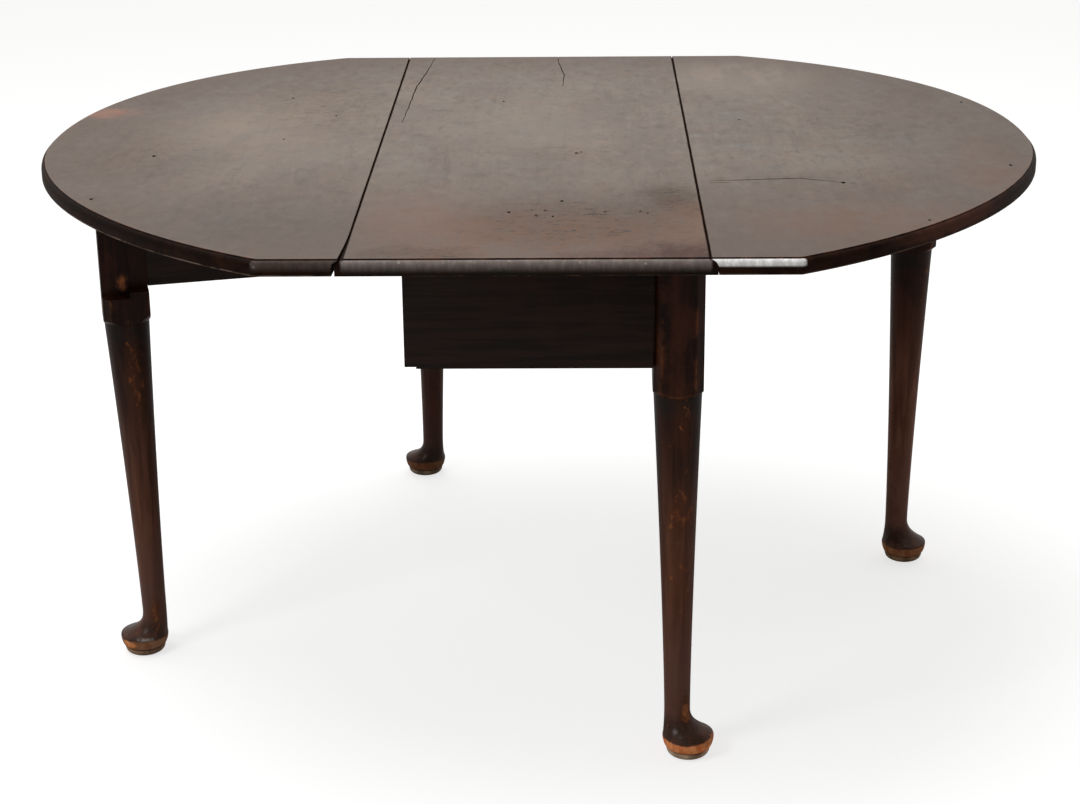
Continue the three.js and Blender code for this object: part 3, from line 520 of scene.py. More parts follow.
def leg_wood(name, seed, patches=(), lift=1.0, bared=PLAIN, shod=PLAIN, shade=1.0,
             bright_spots=(), pad_highlight=None):
    """Near-black stained hardwood, rubbed through to orange in places and on the feet.

    patches are worn places, bright_spots bare ones. lift and shade scale the colour of the low and
    the high part, bared and shod tint the rim of the pad and the shoe, and the last argument is a
    highlight painted pale grey on the pad.
    """
    r = Recipe(name)
    z = r.axes()[2]
    grain = r.noise(r.stretched((90, 90, 5), shift=(seed, 0, seed)), 1.0, 5.0, 0.6, 0.5)
    cloud = r.noise(r.stretched((1, 1, 0.5), shift=(0, seed, seed)), 24.0, 5.0, 0.65)
    chips = r.noise(r.stretched((1, 1, 0.5), shift=(seed, seed, 0)), 120.0, 4.0, 0.62, 0.4)
    fine = r.noise(r.place, 420.0, 3.0, 0.6)
    ragged = r.shaken(14.0, 90.0)

    low = r.ramp(z, *PALE_BELOW)
    dark = r.mix(r.ramp(grain, 0.38, 0.64),
                 scaled((0.0095, 0.0028, 0.0012), shade), scaled((0.029, 0.0076, 0.0030), shade))
    pale = r.mix(r.ramp(grain, 0.36, 0.66),
                 scaled((0.058, 0.0200, 0.0110), lift), scaled((0.112, 0.0430, 0.0250), lift))
    pale = r.mix(r.ramp(z, *FADED_BELOW, 0.0, 0.6), pale, scaled((0.110, 0.0530, 0.0400), lift))
    colour = r.mix(low, dark, pale)
    ruddy = r.times(r.ramp(cloud, 0.48, 0.66), 0.35 * shade ** 2)
    colour = r.mix(ruddy, colour, (0.085, 0.0230, 0.0105))
    colour = r.stain(colour, fine, 0.60, 0.72, 0.20, (0.10, 0.040, 0.022))
    # Darker, near black, just under the shoulder of the block.
    under_shoulder = r.times(r.ramp(z, *UNDER_SHOULDER[0]), r.ramp(z, *UNDER_SHOULDER[1]), r.ramp(cloud, 0.36, 0.52))
    colour = r.mix(r.times(under_shoulder, 0.7), colour, (0.0085, 0.0075, 0.0060))

    worn = [r.times(r.spot(ragged, centre, radii, 0.9), share) for centre, radii, share in patches]
    worn = worn or [0.0]
    zone = r.most(r.ramp(z, *FLAKED_BELOW, 0.0, 0.25), *worn)
    warm = r.math("MINIMUM", r.most(*worn), 1.0)
    colour = r.mix(r.times(warm, 0.60), colour, (0.085, 0.0260, 0.0095))
    flaked = r.ramp(r.plus(chips, r.times(zone, 0.17)), 0.66, 0.78)
    wear = r.node("Attribute", attribute_name="wear", output="Fac")
    rubbed = r.times(wear, r.ramp(r.plus(cloud, r.times(r.most(*worn), 0.12)), 0.50, 0.66))
    bare = r.most(flaked, r.times(rubbed, 0.75))
    orange = r.mix(r.ramp(grain, 0.38, 0.66), (0.135, 0.038, 0.012), (0.29, 0.098, 0.028))
    colour = r.mix(r.times(bare, 0.70), colour, orange)

    # The foot: bare wood round the rim of the pad, a dirty groove, and a scuffed shoe.
    wavy = r.plus(z, r.times(r.minus(cloud, 0.5), 0.014))
    band = r.ramp(z, *RIM_ABOVE)
    rim = r.times(r.ramp(wavy, *RIM_BELOW), band)
    bright = r.mix(r.ramp(chips, 0.34, 0.66), (0.56, 0.165, 0.052), (0.78, 0.32, 0.130))
    bright = r.stain(bright, grain, 0.60, 0.75, 0.35, (0.12, 0.050, 0.022))
    pad = r.mix(1.0, bright, bared, "MULTIPLY")
    shoe = r.mix(r.ramp(cloud, 0.36, 0.62), (0.21, 0.135, 0.085), (0.60, 0.43, 0.29))
    shoe = r.mix(1.0, shoe, shod, "MULTIPLY")
    dusky = r.times(r.ramp(z, *DUSKY_BELOW), r.ramp(r.plus(cloud, r.times(grain, 0.4)), 0.90, 0.60))
    dusky = r.times(dusky, r.minus(1.0, bare))
    colour = r.mix(r.times(dusky, 0.65), colour, (0.0200, 0.0150, 0.0110))
    # A highlight painted pale grey on the top of the pad.
    if pad_highlight:
        centre, radii, tone = pad_highlight
        highlight_spot = r.times(r.spot(r.shaken(5.0, 120.0), centre, radii, 0.8), r.ramp(grain, 0.40, 0.56))
        colour = r.mix(r.times(highlight_spot, 0.80), colour, scaled((0.31, 0.285, 0.26), tone))
    colour = r.mix(rim, colour, pad)
    for centre, radii, share in bright_spots:
        shown = r.times(r.spot(r.shaken(6.0, 90.0), centre, radii, 0.4), band, share)
        rim = r.most(rim, shown)
        colour = r.mix(shown, colour, bright)
    colour = r.mix(r.ramp(z, *SHOE_BELOW), colour, shoe)

    polish = r.times(r.ramp(z, *POLISH[0]), r.ramp(z, *POLISH[1]))
    rough = r.plus(r.times(cloud, 0.20), 0.30, r.times(r.most(bare, rim), 0.18),
                   r.times(polish, -0.12))
    relief = r.plus(r.times(grain, 0.6), r.times(fine, 0.20), r.times(bare, -0.35))
    r.bump(relief, 0.40, 0.40)
    return r.done(colour, rough, 0.10)


def rail_wood(name, turn, seed, tone=1.0):
    """Dark stained rails, with the grain along their length and a little red where rubbed."""
    r = Recipe(name)
    grain = r.noise(r.stretched((6, 70, 110), turn=turn, shift=(seed, seed, 0)), 1.0, 6.0, 0.6, 0.5)
    cloud = r.noise(r.place, 11.0, 5.0, 0.6)
    fine = r.noise(r.place, 300.0, 3.0, 0.65)
    colour = r.mix(r.ramp(grain, 0.36, 0.66),
                   scaled((0.0085, 0.0040, 0.0028), tone), scaled((0.0200, 0.0088, 0.0056), tone))
    colour = r.stain(colour, cloud, 0.50, 0.70, 0.5, scaled((0.030, 0.0105, 0.0060), tone))
    colour = r.stain(colour, fine, 0.62, 0.74, 0.25, (0.045, 0.026, 0.017))
    r.bump(r.plus(grain, r.times(fine, 0.2)), 0.35, 0.35)
    return r.done(colour, r.plus(r.times(cloud, 0.2), 0.45), 0.14)


def iron(name):
    """Old blackened wrought iron with a bloom of rust."""
    r = Recipe(name)
    cloud = r.noise(r.place, 60.0, 5.0, 0.65)
    fine = r.noise(r.place, 600.0, 4.0, 0.7)
    rust = r.ramp(cloud, 0.48, 0.62)
    colour = r.mix(r.ramp(fine, 0.35, 0.65), (0.028, 0.026, 0.024), (0.075, 0.068, 0.062))
    colour = r.mix(r.times(rust, 0.75), colour, (0.085, 0.034, 0.016))
    r.feed(r.shader.inputs["Metallic"], r.ramp(cloud, 0.62, 0.48, 0.15, 0.95))
    r.bump(r.plus(fine, cloud), 0.4, 0.25)
    return r.done(colour, r.plus(r.times(rust, 0.25), 0.42), 0.5)


# ---- the top

def power(value, exponent):
    return math.copysign(abs(value) ** exponent, value)


def oval_point(oval, angle, inset):
    """A point of a leaf's oval outline, drawn in square to itself."""
    reach, lower, upper = oval
    width, curve = upper if angle > 0 else lower
    across = power(math.cos(angle), 2 / curve)
    along = power(math.sin(angle), 2 / curve)
    inward = Vector((power(across, curve - 1) / reach, power(along, curve - 1) / width))
    inward.normalize()
    return reach * across - inset * inward.x, width * along - inset * inward.y


def corner_angle(oval, side, inset):
    """Where the oval meets the straight end of the top, on one side of its middle."""
    low, high = 0.3, math.pi / 2 - 0.01
    for _ in range(40):
        middle = (low + high) / 2
        if abs(oval_point(oval, side * middle, inset)[1]) < END - inset:
            low = middle
        else:
            high = middle
    return low


def moulding_inset(z):
    """How far the moulded edge stands in at a height."""
    width, height = EDGE_ROUND
    up = (z - (HEIGHT - EDGE_STEP - height)) / height
    return width * (1 - math.sqrt(max(0.0, 1 - min(1.0, max(0.0, up)) ** 2)))


def profile_levels(radius, lip_z):
    """Heights at which the moulding and the rule joint are both followed."""
    round_foot = HEIGHT - EDGE_STEP - EDGE_ROUND[1]
    levels = [UNDERSIDE, EXTRA_LEVEL, RULE_AXIS, lip_z, HEIGHT]
    levels += [round_foot + EDGE_ROUND[1] * math.sin(math.radians(a)) for a in range(0, 91, 9)]
    levels += [RULE_AXIS + radius * math.sin(math.radians(a)) for a in range(12, 90, 12)]
    kept = []
    for z in sorted(levels):
        if z in (lip_z, HEIGHT) or not kept or z - kept[-1] > LEAST_RISE:
            kept.append(z)
    return kept


def leaf_ring(oval, z, inset, joint, worn):
    """The outline of a leaf at a height, anticlockwise from its lower corner on the joint.

    worn is how far its upper corner on the joint, the left leaf's front one, is worn back.
    """
    end = END - inset
    first, last = (side * corner_angle(oval, side, inset) for side in (-1, 1))
    lower, upper = (oval_point(oval, angle, inset)[0] for angle in (first, last))
    arc, straight, seam = 240, 16, 64
    ring = [(joint + (lower - joint) * i / straight, -end) for i in range(straight)]
    ring += [oval_point(oval, first + (last - first) * i / arc, inset) for i in range(arc)]
    ring += [(upper + (joint - upper) * i / straight, end) for i in range(straight)]
    ring += [(joint, end - 2 * end * i / seam) for i in range(seam)]
    bitten = []
    for x, y in ring:
        along = max(0.0, (y - WORN_FROM) / (END - WORN_FROM)) if x < WORN_UP_TO else 0.0
        bite = worn * along ** 1.5
        bitten.append((x + bite * max(0.0, 1 - (x - joint) / WORN_ACROSS), y, z))
    return bitten


def cove_line(z, lip_z):
    """The leaf's edge along the joint at a height."""
    if z <= RULE_AXIS:
        return JOINT + COVE
    if z >= lip_z:
        return JOINT + LIP_GAP
    return JOINT + math.sqrt(COVE ** 2 - (z - RULE_AXIS) ** 2)


def ovolo_line(z):
    """The centre board's edge along the joint at a height."""
    if z <= RULE_AXIS:
        return JOINT + OVOLO
    if z >= RULE_AXIS + OVOLO:
        return JOINT
    return JOINT + math.sqrt(OVOLO ** 2 - (z - RULE_AXIS) ** 2)


def board_ring(z, inset, half):
    """The outline of the centre board at a height."""
    end = END - inset
    side, seam = 40, 64
    ring = [(-half + 2 * half * i / side, -end) for i in range(side)]
    ring += [(half, -end + 2 * end * i / seam) for i in range(seam)]
    ring += [(half - 2 * half * i / side, end) for i in range(side)]
    ring += [(-half, end - 2 * end * i / seam) for i in range(seam)]
    return [(x, y, z) for x, y in ring]


def slab(name, levels, outline):
    """A board skinned over its outlines; rings on its flat carry the wear of its arris."""
    wear_at = {UNDERSIDE: 0.08, HEIGHT: 0.9}
    courses = [(z, 0.0, wear_at.get(z, 0.06)) for z in levels]
    courses += [(HEIGHT, JOINT_RUB, 0.8), (HEIGHT, 3.0, 0.20), (HEIGHT, 8.0, 0.0)]
    rings, wear = [], []
    for z, margin, amount in courses:
        ring = outline(z, margin)
        rings.append(ring)
        # None along the joints.
        wear += [0.0 if abs(abs(x) - JOINT) < 16 else amount for x, _, _ in ring]
    return placed(name, *skinned(rings), wear)


def hinge_room(side, y, board):
    """Cutters for one hinge in the centre board or in a leaf."""
    low, high = y - HINGE_HALF, y + HINGE_HALF
    under = UNDERSIDE - PAST_WOOD

    def sided(name, x0, x1, z1):
        xs = sorted((side * x0, side * x1))
        return box(name, (xs[0], low, under), (xs[1], high, z1))

    if not board:
        return [sided("room", JOINT, JOINT + LEAF_FLAP_REACH, FLAP_TOP)]
    axis = side * JOINT
    return [
        sided("room", JOINT - FIXED_FLAP_REACH, JOINT, FLAP_TOP),
        sided("mouth", JOINT - KNUCKLE_ROOM, JOINT + OVOLO + PAST_WOOD, RULE_AXIS),
        rod("bore", (axis, low, RULE_AXIS), (axis, high, RULE_AXIS), KNUCKLE_ROOM, 32),
    ]


def crack(points, width):
    """A cutter for a crack through points on the flat, widest at its middle."""
    rings = []
    for i in range(len(points)):
        x, y = points[i]
        ahead = Vector(points[min(i + 1, len(points) - 1)]) - Vector(points[max(i - 1, 0)])
        ahead.normalize()
        share = math.sin(math.pi * (i + 0.5) / len(points))
        half = width / 2 * (0.35 + 0.65 * share) * (CRACK_DEPTH + PAST_FLAT) / CRACK_DEPTH
        right = (x + ahead.y * half, y - ahead.x * half, HEIGHT + PAST_FLAT)
        left = (x - ahead.y * half, y + ahead.x * half, HEIGHT + PAST_FLAT)
        rings.append([right, (x, y, HEIGHT - CRACK_DEPTH), left])
    return placed("crack", *skinned(rings))


def wandering(points, sway):
    """The points joined by short steps that sway from side to side like a split in the grain."""
    course = []
    for (x0, y0), (x1, y1) in zip(points, points[1:]):
        count = max(1, round(math.hypot(x1 - x0, y1 - y0) / CRACK_STEP))
        for i in range(count):
            n = len(course)
            off = sway * math.sin(2.3 * n) * math.cos(0.9 * n)
            x, y = x0 + (x1 - x0) * i / count, y0 + (y1 - y0) * i / count
            upright = abs(y1 - y0) > abs(x1 - x0)
            course.append((x + off, y) if upright else (x, y + off))
    return course + [points[-1]]


def pit(centre, size, seed):
    """A cutter for a small ragged dent in the flat."""
    x, y = centre
    rings = []
    for z, share in ((HEIGHT - PIT_DEPTH, 0.45), (HEIGHT + 1.0, 1.15)):
        ring = []
        for angle in circle(9):
            ragged = 1 + 0.28 * math.sin(3 * angle + seed) + 0.15 * math.cos(5 * angle + 2 * seed)
            reach = size * share * ragged
            ring.append((x + reach * math.cos(angle), y + 1.5 * reach * math.sin(angle), z))
        rings.append(ring)
    return placed("pit", *skinned(rings))


def flaws(name):
    """Cutters for the cracks and dents of one board."""
    cuts = [crack(wandering(points, sway), width) for points, width, sway in CRACKS[name]]
    return cuts + [pit(centre, size, i) for i, (centre, size) in enumerate(PITS[name])]


def finish_board(made, name, node, body, cuts, woods, dirt):
    """Give a board its cuts and flaws and its three materials, and hide the CAD piece it stands
    for.
    """
    flat, edge = woods[name]
    carve(made, cuts + flaws(name))
    finish(made, flat, body, 0.45)
    tint_edges(made, name, edge, dirt)
    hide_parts(node)


def build_top(woods, dirt):
    lip_z = RULE_AXIS + math.sqrt(COVE ** 2 - LIP_GAP ** 2)

    def board_outline(z, margin):
        return board_ring(z, moulding_inset(z) + margin, ovolo_line(z) - margin)

    board = slab("board_top", profile_levels(OVOLO, RULE_AXIS + OVOLO), board_outline)
    hinges = (-HINGE_FROM_CENTRE, HINGE_FROM_CENTRE)
    hole_radius, hole_depth = SCREW_HOLE
    cuts = []
    for side in (-1, 1):
        for y in hinges:
            cuts += hinge_room(side, y, True)
        for y in (-SCREW_Y, SCREW_Y):
            ends = [(side * SCREW_X, y, UNDERSIDE + up) for up in (-PAST_WOOD, hole_depth)]
            cuts.append(rod("hole", *ends, hole_radius, 20))
    finish_board(board, "centre", "centre_board", "frame", cuts, woods, dirt)

    for side, name, oval in ((1, "right", RIGHT_OVAL), (-1, "left", LEFT_OVAL)):
        def outline(z, margin):
            eaten = WORN_CORNER[name] * (0.55 + 0.45 * (z - UNDERSIDE) / (HEIGHT - UNDERSIDE))
            inset, joint = moulding_inset(z) + margin, cove_line(z, lip_z) + margin
            return [(side * x, side * y, z) for x, y, z in leaf_ring(oval, z, inset, joint, eaten)]

        leaf = slab(name + "_leaf_top", profile_levels(COVE, lip_z), outline)
        cuts = [cutter for y in hinges for cutter in hinge_room(side, y, False)]
        node = body = name + "_leaf"
        finish_board(leaf, name, node, body, cuts, woods, dirt)


# ---- the legs

def block_radius(angle, bevelled):
    """How far the square block reaches from its centre at an angle in its own frame."""
    c, s = math.cos(angle), math.sin(angle)
    reach = min(BLOCK_HALF / max(abs(c), 1e-9), BLOCK_HALF / max(abs(s), 1e-9))
    for corner in bevelled:
        turn = math.radians(45 + 90 * corner)
        facing = math.cos(angle - turn)
        if facing > 0.2:
            reach = min(reach, (2 * BLOCK_HALF - LEG_BEVEL) / math.sqrt(2) / facing)
    return reach


def block_angles(bevelled):
    """Evenly spread angles, with the exact corners of the block among them."""
    exact = []
    for corner in range(4):
        turn = 45 + 90 * corner
        if corner in bevelled:
            tilt = math.degrees(math.atan2(BLOCK_HALF, BLOCK_HALF - LEG_BEVEL)) - 45
            exact += [turn - tilt, turn + tilt]
        else:
            exact.append(turn)
    spread = [360 * i / LEG_ANGLES for i in range(LEG_ANGLES)]
    near = 360 / LEG_ANGLES / 2
    spread = [a for a in spread if min(abs(a - e) for e in exact) > near]
    return [math.radians(a) for a in sorted(spread + exact)], [math.radians(e) for e in exact]


def leg_radii(shift):
    """Rings of the round part, as height, radius and shift towards the toe."""
    ankle, slim = ANKLE
    rings = [(height, radius, shift + PAD_REACH) for height, radius in FOOT_PROFILE]
    for i in range(31):
        share = 1 - i / 30
        flare = share ** TRUMPET_POWER
        rings.append((ankle + (PAD_TOP - ankle) * share,
                      slim + (PAD_RADIUS - 0.6 - slim) * flare, shift + PAD_REACH * flare))
    rise = SHAFT_TOP - ankle
    shares = [i / 22 for i in range(1, 23) if ankle + rise * i / 22 < SHOULDER - 1.0]
    for share in shares + [(SHOULDER - ankle) / rise]:
        rings.append((min(ankle + rise * share, SHOULDER - 0.3),
                      slim + (SHAFT_RADIUS - slim) * share ** TAPER_POWER, shift * (1 - share)))
    return rings


def leg(name, centre, turn, toe, shift, bevelled, top):
    """A leg on its centre line: pad foot, shaft, and a block turned to its own frame."""
    angles, exact = block_angles(bevelled)
    rings, wear = [], []
    toe_way = Vector((math.cos(toe), math.sin(toe)))
    for height, radius, off in leg_radii(shift):
        x, y = centre[0] + off * toe_way.x, centre[1] + off * toe_way.y
        rings.append([(x + radius * math.cos(a + turn), y + radius * math.sin(a + turn), height)
                      for a in angles])
        wear += [0.0] * len(angles)

    def block_ring(height, share):
        """The block's outline, at a height or where the turned shoulder runs out on its faces."""
        ring = []
        for a in angles:
            reach = block_radius(a, bevelled)
            z = SHOULDER + reach - SHAFT_RADIUS if height is None else height
            ring.append((centre[0] + reach * math.cos(a + turn),
                         centre[1] + reach * math.sin(a + turn), z))
            near = min(abs(a - e) for e in exact) < 0.01
            wear.append(1.0 if near else share)
        return ring

    rings.append(block_ring(None, 0.9))
    rings.append([(x, y, max(z + 2.5, SHOULDER + 2.8)) for x, y, z in rings[-1]])
    wear += [0.75 if w > 0.95 else 0.05 for w in wear[-len(angles):]]
    for height in (540.0, 575.0, 615.0, 655.0, top):
        rings.append(block_ring(height, 0.0))
    return placed(name, *skinned(rings), wear)


def turned(made, centre, turn):
    """The object, drawn about the origin, turned and brought to a centre."""
    move = Matrix.Translation(Vector(centre) * MM)
    made.data.transform(move @ Matrix.Rotation(turn, 4, "Z"))
    return made


def peg_heights(bottom, top):
    return bottom + PEG_FROM_EDGE, top - PEG_FROM_EDGE


def finish_leg(made, node, body, material, cuts, centre, turn):
    """Turn the cutters of a leg's joints with the leg, and finish it with them."""
    carve(made, [turned(cut, centre, turn) for cut in cuts])
    finish(made, material, body, 0.55)
    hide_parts(node)


def build_fixed_leg(node, material, half_turn):
    """A leg of the frame; the front one is the back one turned half round."""
    turn = math.pi if half_turn else 0.0
    centre = Matrix.Rotation(turn, 2) @ Vector(FIXED_LEG)
    toe = math.radians(FIXED_TOE) + turn
    made = leg(node + "_turned", centre, turn, toe, FIXED_ANKLE_SHIFT, (0, 1, 2), FRAME_TOP)
    cuts = [box("apron_mortise", *APRON_MORTISE), box("rail_mortise", *RAIL_MORTISE)]
    for (start, end), bottom in ((APRON_PEG_HOLE, APRON_BOTTOM), (RAIL_PEG_HOLE, RAIL_BOTTOM)):
        for z in peg_heights(bottom, FRAME_TOP):
            cuts.append(rod("hole", (*start, z), (*end, z), PEG_BORE))
    finish_leg(made, node, "frame", material, cuts, (0, 0, 0), turn)


def build_gate_leg(side, material):
    """A leg of a gate, shaped in the gate's shut frame and turned about its pin."""
    gate = GATES[side]
    length = gate["length"]
    turn = (0.0 if side == "left" else math.pi) - math.radians(gate["open"])
    sign = -1 if side == "left" else 1
    pin = (sign * GATE_PIN[0], sign * GATE_PIN[1])
    centre = Vector(pin) + Matrix.Rotation(turn, 2) @ Vector((0.0, -length))
    toe = math.radians(gate["toe"]) + turn
    made = leg(side + "_gate_leg_turned", centre, turn, toe, gate["shift"], (2, 3), GATE_TOP)
    outer, inner, above = -length - PAST_BLOCK, -length + PAST_BLOCK, 700.0
    half, low, high = GATE_MORTISE
    cuts = [
        box("lap_of_apron", (LAP_FACE, outer, APRON_BOTTOM - 1), (PAST_BLOCK, LAP_STEP, above)),
        box("lap_of_rail", (LAP_FACE, LAP_STEP - 1, RAIL_BOTTOM - 2), (PAST_BLOCK, inner, above)),
        box("mortise", (-half, -length + GATE_MORTISE_FROM, low), (half, inner, high)),
    ]
    y, far = -length + GATE_PEG_HOLE[0], GATE_PEG_HOLE[1]
    for z in peg_heights(RAIL_BOTTOM, GATE_TOP):
        cuts.append(rod("hole", (-PAST_BLOCK, y, z), (far, y, z), PEG_BORE))
    finish_leg(made, side + "_gate_leg", side + "_gate", material, cuts, (*pin, 0), turn)


# ---- rails and small parts

def soften(node, material, ease, body="frame"):
    """Make a copy of a CAD piece with its arrises eased, to stand for it."""
    made = linked(node + "_eased", NODES[node].data.copy())
    work = bmesh.new()
    work.from_mesh(made.data)
    bmesh.ops.remove_doubles(work, verts=work.verts, dist=0.00001)
    bmesh.ops.dissolve_limit(
        work, angle_limit=math.radians(1.0), verts=work.verts, edges=work.edges)
    work.to_mesh(made.data)
    work.free()
    finish(made, material, body, ease)
    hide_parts(node)


def screw_head(name, centre, material, body, turn):
    """A countersunk screw head with its slot, let into a flap from below."""
    x, y, z = centre
    rings = [[(x + radius * math.cos(a), y + radius * math.sin(a), z + rise) for a in circle(24)]
             for rise, radius in SCREW_HEAD]
    made = placed(name, *skinned(rings))
    carve(made, [turned(box("slot", (-5, -0.45, -3), (5, 0.45, -0.1)), centre, turn)])
    finish(made, material, body, 0.12)


# ---- make the table

CRACKS = {
    "centre": [
        ([(-176, 588), (-182, 481), (-193, 347), (-195, 221), (-198, 116)], 1.8, 0.9),
        ([(29, 588), (30, 540), (40, 437), (38, 355)], 1.5, 0.8),
    ],
    "right": [
        ([(236, -230), (289, -225), (357, -218), (383, -229), (413, -242)], 2.6, 1.0),
        ([(236, -240), (262, -239)], 1.6, 0.6),
    ],
    "left": [],
}
PITS = {
    "centre": [((-26, -380), 3.0), ((9, -394), 2.2), ((60, -76), 3.2), ((41, -328), 2.8),
               ((-52, 250), 2.4), ((66, -70), 2.2), ((30, -400), 2.2), ((96, -380), 2.0),
               ((20, -372), 1.8), ((3, -370), 1.6), ((141, -378), 2.0), ((150, -388), 1.8)],
    "right": [((413, -242), 3.6), ((644, 228), 2.6), ((650, -154), 3.0), ((500, -425), 2.4),
              ((300, 120), 2.0)],
    "left": [((-573, -308), 3.2), ((-531, -81), 3.4), ((-361, 14), 2.0), ((-379, 280), 2.4),
             ((-300, 160), 2.0)],
}
# Colours of stains, and of painted sheen and painted highlights.
RED = (0.100, 0.043, 0.020)
ROSE = (0.190, 0.072, 0.040)
DARK = (0.032, 0.017, 0.008)
TAN = (0.190, 0.145, 0.112)
CORNER = (0.044, 0.009, 0.001)
SHEEN_GREY = (0.250, 0.208, 0.190)
SHEEN_PALE = (0.97, 0.95, 0.94)
PAINTED_GLINT = (0.62, 0.58, 0.55)
# Each edge wood gets a painted sheen along its straight front moulding, and spots of painted
# highlight and painted shade.
woods = {
    "centre": (
        flat_wood(
            "top_wood_centre", 0.37,
            [((20, -500), (300, 190), RED, 0.95),
             ((-140, -380), (110, 170), ROSE, 0.22),
             ((172, -330), (70, 130), DARK, 0.58), ((200, -440), (70, 170), RED, 1.0),
             ((202, -592), (140, 92), CORNER, 2.2),
             ((95, -575), (110, 24), CORNER, 0.8), ((0, 80), (160, 300), TAN, 0.40)],
            [((60, -430), (220, 170), 0.9), ((190, -330), (70, 130), 0.9),
             ((40, -72), (120, 60), 0.35), ((190, -560), (100, 100), 1.0),
             ((-130, -560), (110, 40), 0.9)]),
        edge_wood(
            "edge_wood_centre", 0.37, [(-222.0, 222.0, 692.5, 708.0, SHEEN_GREY, 0.97)],
            [((x, -586, 706), (3.0, 8, 1.6), PAINTED_GLINT, 0.9) for x in (-150, -22, 64, 142)]
            + [((0, -586, 693), (400, 9, 4.0), (0.010, 0.008, 0.006), 0.9)], 0.0, 0.45)),
    "right": (
        flat_wood(
            "top_wood_right", 0.81,
            [((420, -430), (240, 130), RED, 0.70), ((620, -180), (80, 220), RED, 0.60),
             ((320, 420), (200, 190), TAN, 0.75), ((500, 60), (160, 220), DARK, 0.14)],
            [((430, -250), (190, 120), 0.30), ((420, 60), (180, 220), 0.25)]),
        edge_wood(
            "edge_wood_right", 0.81, [(219.0, 334.0, 699.5, 703.0, SHEEN_PALE, 1.0)],
            [((560, -430, 702), (190, 170, 14), (0.078, 0.027, 0.016), 0.85)], 0.35, 0.60)),
    "left": (
        flat_wood(
            "top_wood_left", 0.12,
            [((-645, 185), (62, 46), ROSE, 1.0),
             ((-350, -420), (210, 170), (0.036, 0.026, 0.020), 0.45),
             ((-400, 60), (200, 320), TAN, 0.50)],
            [((-330, 200), (140, 260), 0.5), ((-500, -80), (170, 200), 0.35)]),
        edge_wood(
            "edge_wood_left", 0.12, [(-330.0, -219.0, 694.0, 704.0, (0.085, 0.062, 0.052), 0.85)],
            [((-357, -582, 705), (2.2, 8, 3.5), PAINTED_GLINT, 0.8),
             ((-326, -586, 704), (4, 8, 3.5), PAINTED_GLINT, 0.35),
             ((-560, -420, 705), (260, 300, 11), (0.0045, 0.0016, 0.0008), 0.8)], 0.85, 0.20)),
}
build_top(woods, joint_dirt("joint_dirt"))

build_fixed_leg("back_left_leg", leg_wood(
    "leg_wood_back", 0.2, [((-203, 500, 20), (60, 60, 30), 0.4)],
    lift=0.66, bared=(0.24, 0.26, 0.28), shod=(0.6, 0.6, 0.6)), False)
build_fixed_leg("front_right_leg", leg_wood(
    "leg_wood_front", 0.5,
    [((192, -512, 470), (22, 40, 70), 0.6), ((190, -510, 345), (28, 40, 60), 1.1),
     ((192, -512, 250), (22, 40, 80), 0.8), ((204, -512, 62), (15, 40, 34), 2.6),
     ((162, -520, 575), (12, 20, 50), 1.2)],
    lift=1.32, bared=(1.35, 1.25, 1.20), shod=(1.1, 1.1, 1.1),
    bright_spots=[((236, -505, 24), (22, 40, 6.5), 1.0), ((201, -504, 65), (6, 30, 11), 0.33)],
    pad_highlight=((192, -517, 41), (9, 14, 9), 1.9)), True)
build_gate_leg("left", leg_wood(
    "leg_wood_left", 0.9,
    [((-563, -220, 566), (13, 30, 17), 3.6), ((-552, -215, 430), (16, 40, 110), 0.9),
     ((-551, -210, 64), (11, 30, 34), 1.6)],
    lift=1.10, bared=(0.40, 0.50, 0.66), shod=(0.60, 0.52, 0.48), shade=0.72,
    bright_spots=[((-590, -218, 20), (13, 24, 7), 1.0), ((-563, -220, 563), (6, 30, 16), 0.22)],
    pad_highlight=((-566, -222, 29), (20, 16, 3.5), 0.9)))
build_gate_leg("right", leg_wood(
    "leg_wood_right", 0.7, [((594, 100, 430), (24, 50, 150), 0.9)],
    lift=1.72, bared=(0.58, 0.64, 0.74), shod=(0.75, 0.65, 0.55),
    pad_highlight=((572, 90, 45), (6, 16, 12), 1.0)))

apron_wood = rail_wood("apron_wood", 0.0, 0.3)
side_wood = rail_wood("side_rail_wood", math.pi / 2, 0.6)
left_wood = rail_wood("left_gate_wood", math.radians(-14.6), 0.1)
right_wood = rail_wood("right_gate_wood", math.radians(-7.5), 0.8)
peg_wood = leg_wood("peg_wood", 0.45)
block_wood = rail_wood("block_wood", math.pi / 2, 0.15, 4.0)
old_iron = iron("old_iron")

for end in ("front", "back"):
    soften(end + "_apron", apron_wood, 0.5)
    for i in "12":
        soften(end + "_apron_peg_" + i, peg_wood, 0.1)
for side, gate_material in (("left", left_wood), ("right", right_wood)):
    soften(side + "_inner_rail", side_wood, 0.5)
    soften(side + "_outer_rail", side_wood, 0.5)
    soften(side + "_gate_rail", gate_material, 0.5, side + "_gate")
    soften(side + "_gate_pin", old_iron, 0.3)
    for i in "12":
        soften(side + "_rail_peg_" + i, peg_wood, 0.1)
        soften(side + "_gate_peg_" + i, peg_wood, 0.1, side + "_gate")
        soften(side + "_glue_block_" + i, block_wood, 0.8)
        soften(side + "_top_screw_" + i, old_iron, 0.2)
        hinge = side + "_hinge_" + i
        soften(hinge + "_fixed_flap", old_iron, 0.25)
        soften(hinge + "_leaf_flap", old_iron, 0.25, side + "_leaf")
        soften(hinge + "_pin", old_iron, 0.2)
    sign = -1 if side == "left" else 1
    for row, y in enumerate((-HINGE_FROM_CENTRE, HINGE_FROM_CENTRE)):
        for n, (off, step) in enumerate(HINGE_SCREWS):
            body = "frame" if off < 0 else side + "_leaf"
            screw_head("%s_hinge_screw_%d_%d" % (side, row + 1, n + 1),
                       (sign * (JOINT + off), y + step, SCREW_FACE), old_iron, body, 0.7 * n + row)


# ---- floor, light and camera

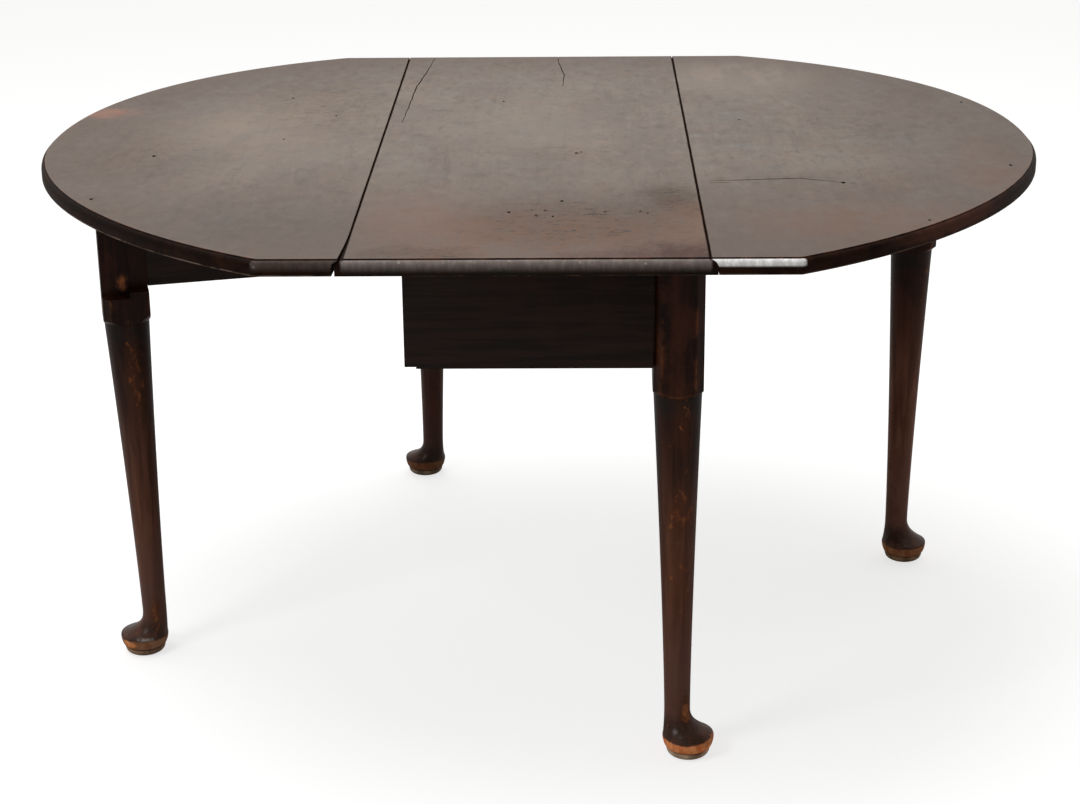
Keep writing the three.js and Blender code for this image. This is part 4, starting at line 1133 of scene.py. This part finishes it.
def floor():
    corners = [(x * FLOOR_HALF, y * FLOOR_HALF, 0) for x, y in ((-1, -1), (1, -1), (1, 1), (-1, 1))]
    made = placed("floor", corners, [(0, 1, 2, 3)])
    r = Recipe("floor_paper")
    seen = r.node("LightPath", output="Is Camera Ray")
    grain = r.noise(r.place, 40.0)
    pale = r.mix(r.times(grain, 0.04), (0.62, 0.62, 0.62), (0.57, 0.57, 0.57))
    r.shader.inputs["Emission Color"].default_value = (1.0, 1.0, 1.0, 1.0)
    r.feed(r.shader.inputs["Emission Strength"], r.times(seen, 0.70))
    made.data.materials.append(r.done(r.mix(seen, pale, (0.46, 0.46, 0.46)), 1.0, 0.0))


def lamp(name, at, target, size, watts):
    data = bpy.data.lights.new(name, "AREA")
    data.shape = "RECTANGLE"
    data.size, data.size_y = size
    data.energy = watts
    made = linked(name, data)
    made.location = at
    made.rotation_euler = (Vector(target) - Vector(at)).to_track_quat("-Z", "Y").to_euler()


def world():
    """White to the camera; to the table, a soft light that grows towards the back."""
    made = bpy.data.worlds.new("studio")
    bpy.context.scene.world = made
    made.use_nodes = True
    nodes = Nodes(made.node_tree)
    nodes.tree.nodes.clear()
    back = nodes.node("SeparateXYZ", {0: nodes.node("TexCoord", output="Generated")}, 1)
    strength = nodes.ramp(back, -0.5, 0.7, 0.20, 0.80)
    soft = nodes.node("Background", {"Color": (1.0, 0.985, 0.955, 1.0), "Strength": strength})
    white = nodes.node("Background", {"Color": (1.0, 1.0, 1.0, 1.0)})
    seen = nodes.node("LightPath", output="Is Camera Ray")
    shown = nodes.node("MixShader", {0: seen, 1: soft, 2: white})
    nodes.feed(nodes.tree.nodes.new("ShaderNodeOutputWorld").inputs["Surface"], shown)


def camera():
    data = bpy.data.cameras.new("camera")
    data.sensor_fit = "HORIZONTAL"
    data.sensor_width = SENSOR
    data.lens = SENSOR * FOCAL_PIXELS / PHOTO_WIDTH
    data.clip_end = 100.0
    made = linked("camera", data)
    yaw, pitch, roll = CAMERA_TURN
    level = math.cos(pitch)
    ahead = Vector((-math.sin(yaw) * level, math.cos(yaw) * level, -math.sin(pitch)))
    right = Vector((math.cos(yaw), math.sin(yaw), 0.0))
    up = right.cross(ahead)
    across = right * math.cos(roll) + up * math.sin(roll)
    upward = up * math.cos(roll) - right * math.sin(roll)
    facing = Matrix((across, upward, -ahead)).transposed().to_4x4()
    made.matrix_world = Matrix.Translation(CAMERA_PLACE) @ facing
    bpy.context.scene.camera = made


floor()
world()
lamp("overhead", (-0.4, 0.3, 3.2), (0, 0, 0.4), (3.0, 2.2), 85)
lamp("key", (-2.2, -2.0, 2.6), (0, 0, 0.5), (1.0, 1.0), 30)
camera()
bpy.context.scene.view_settings.view_transform = "Standard"
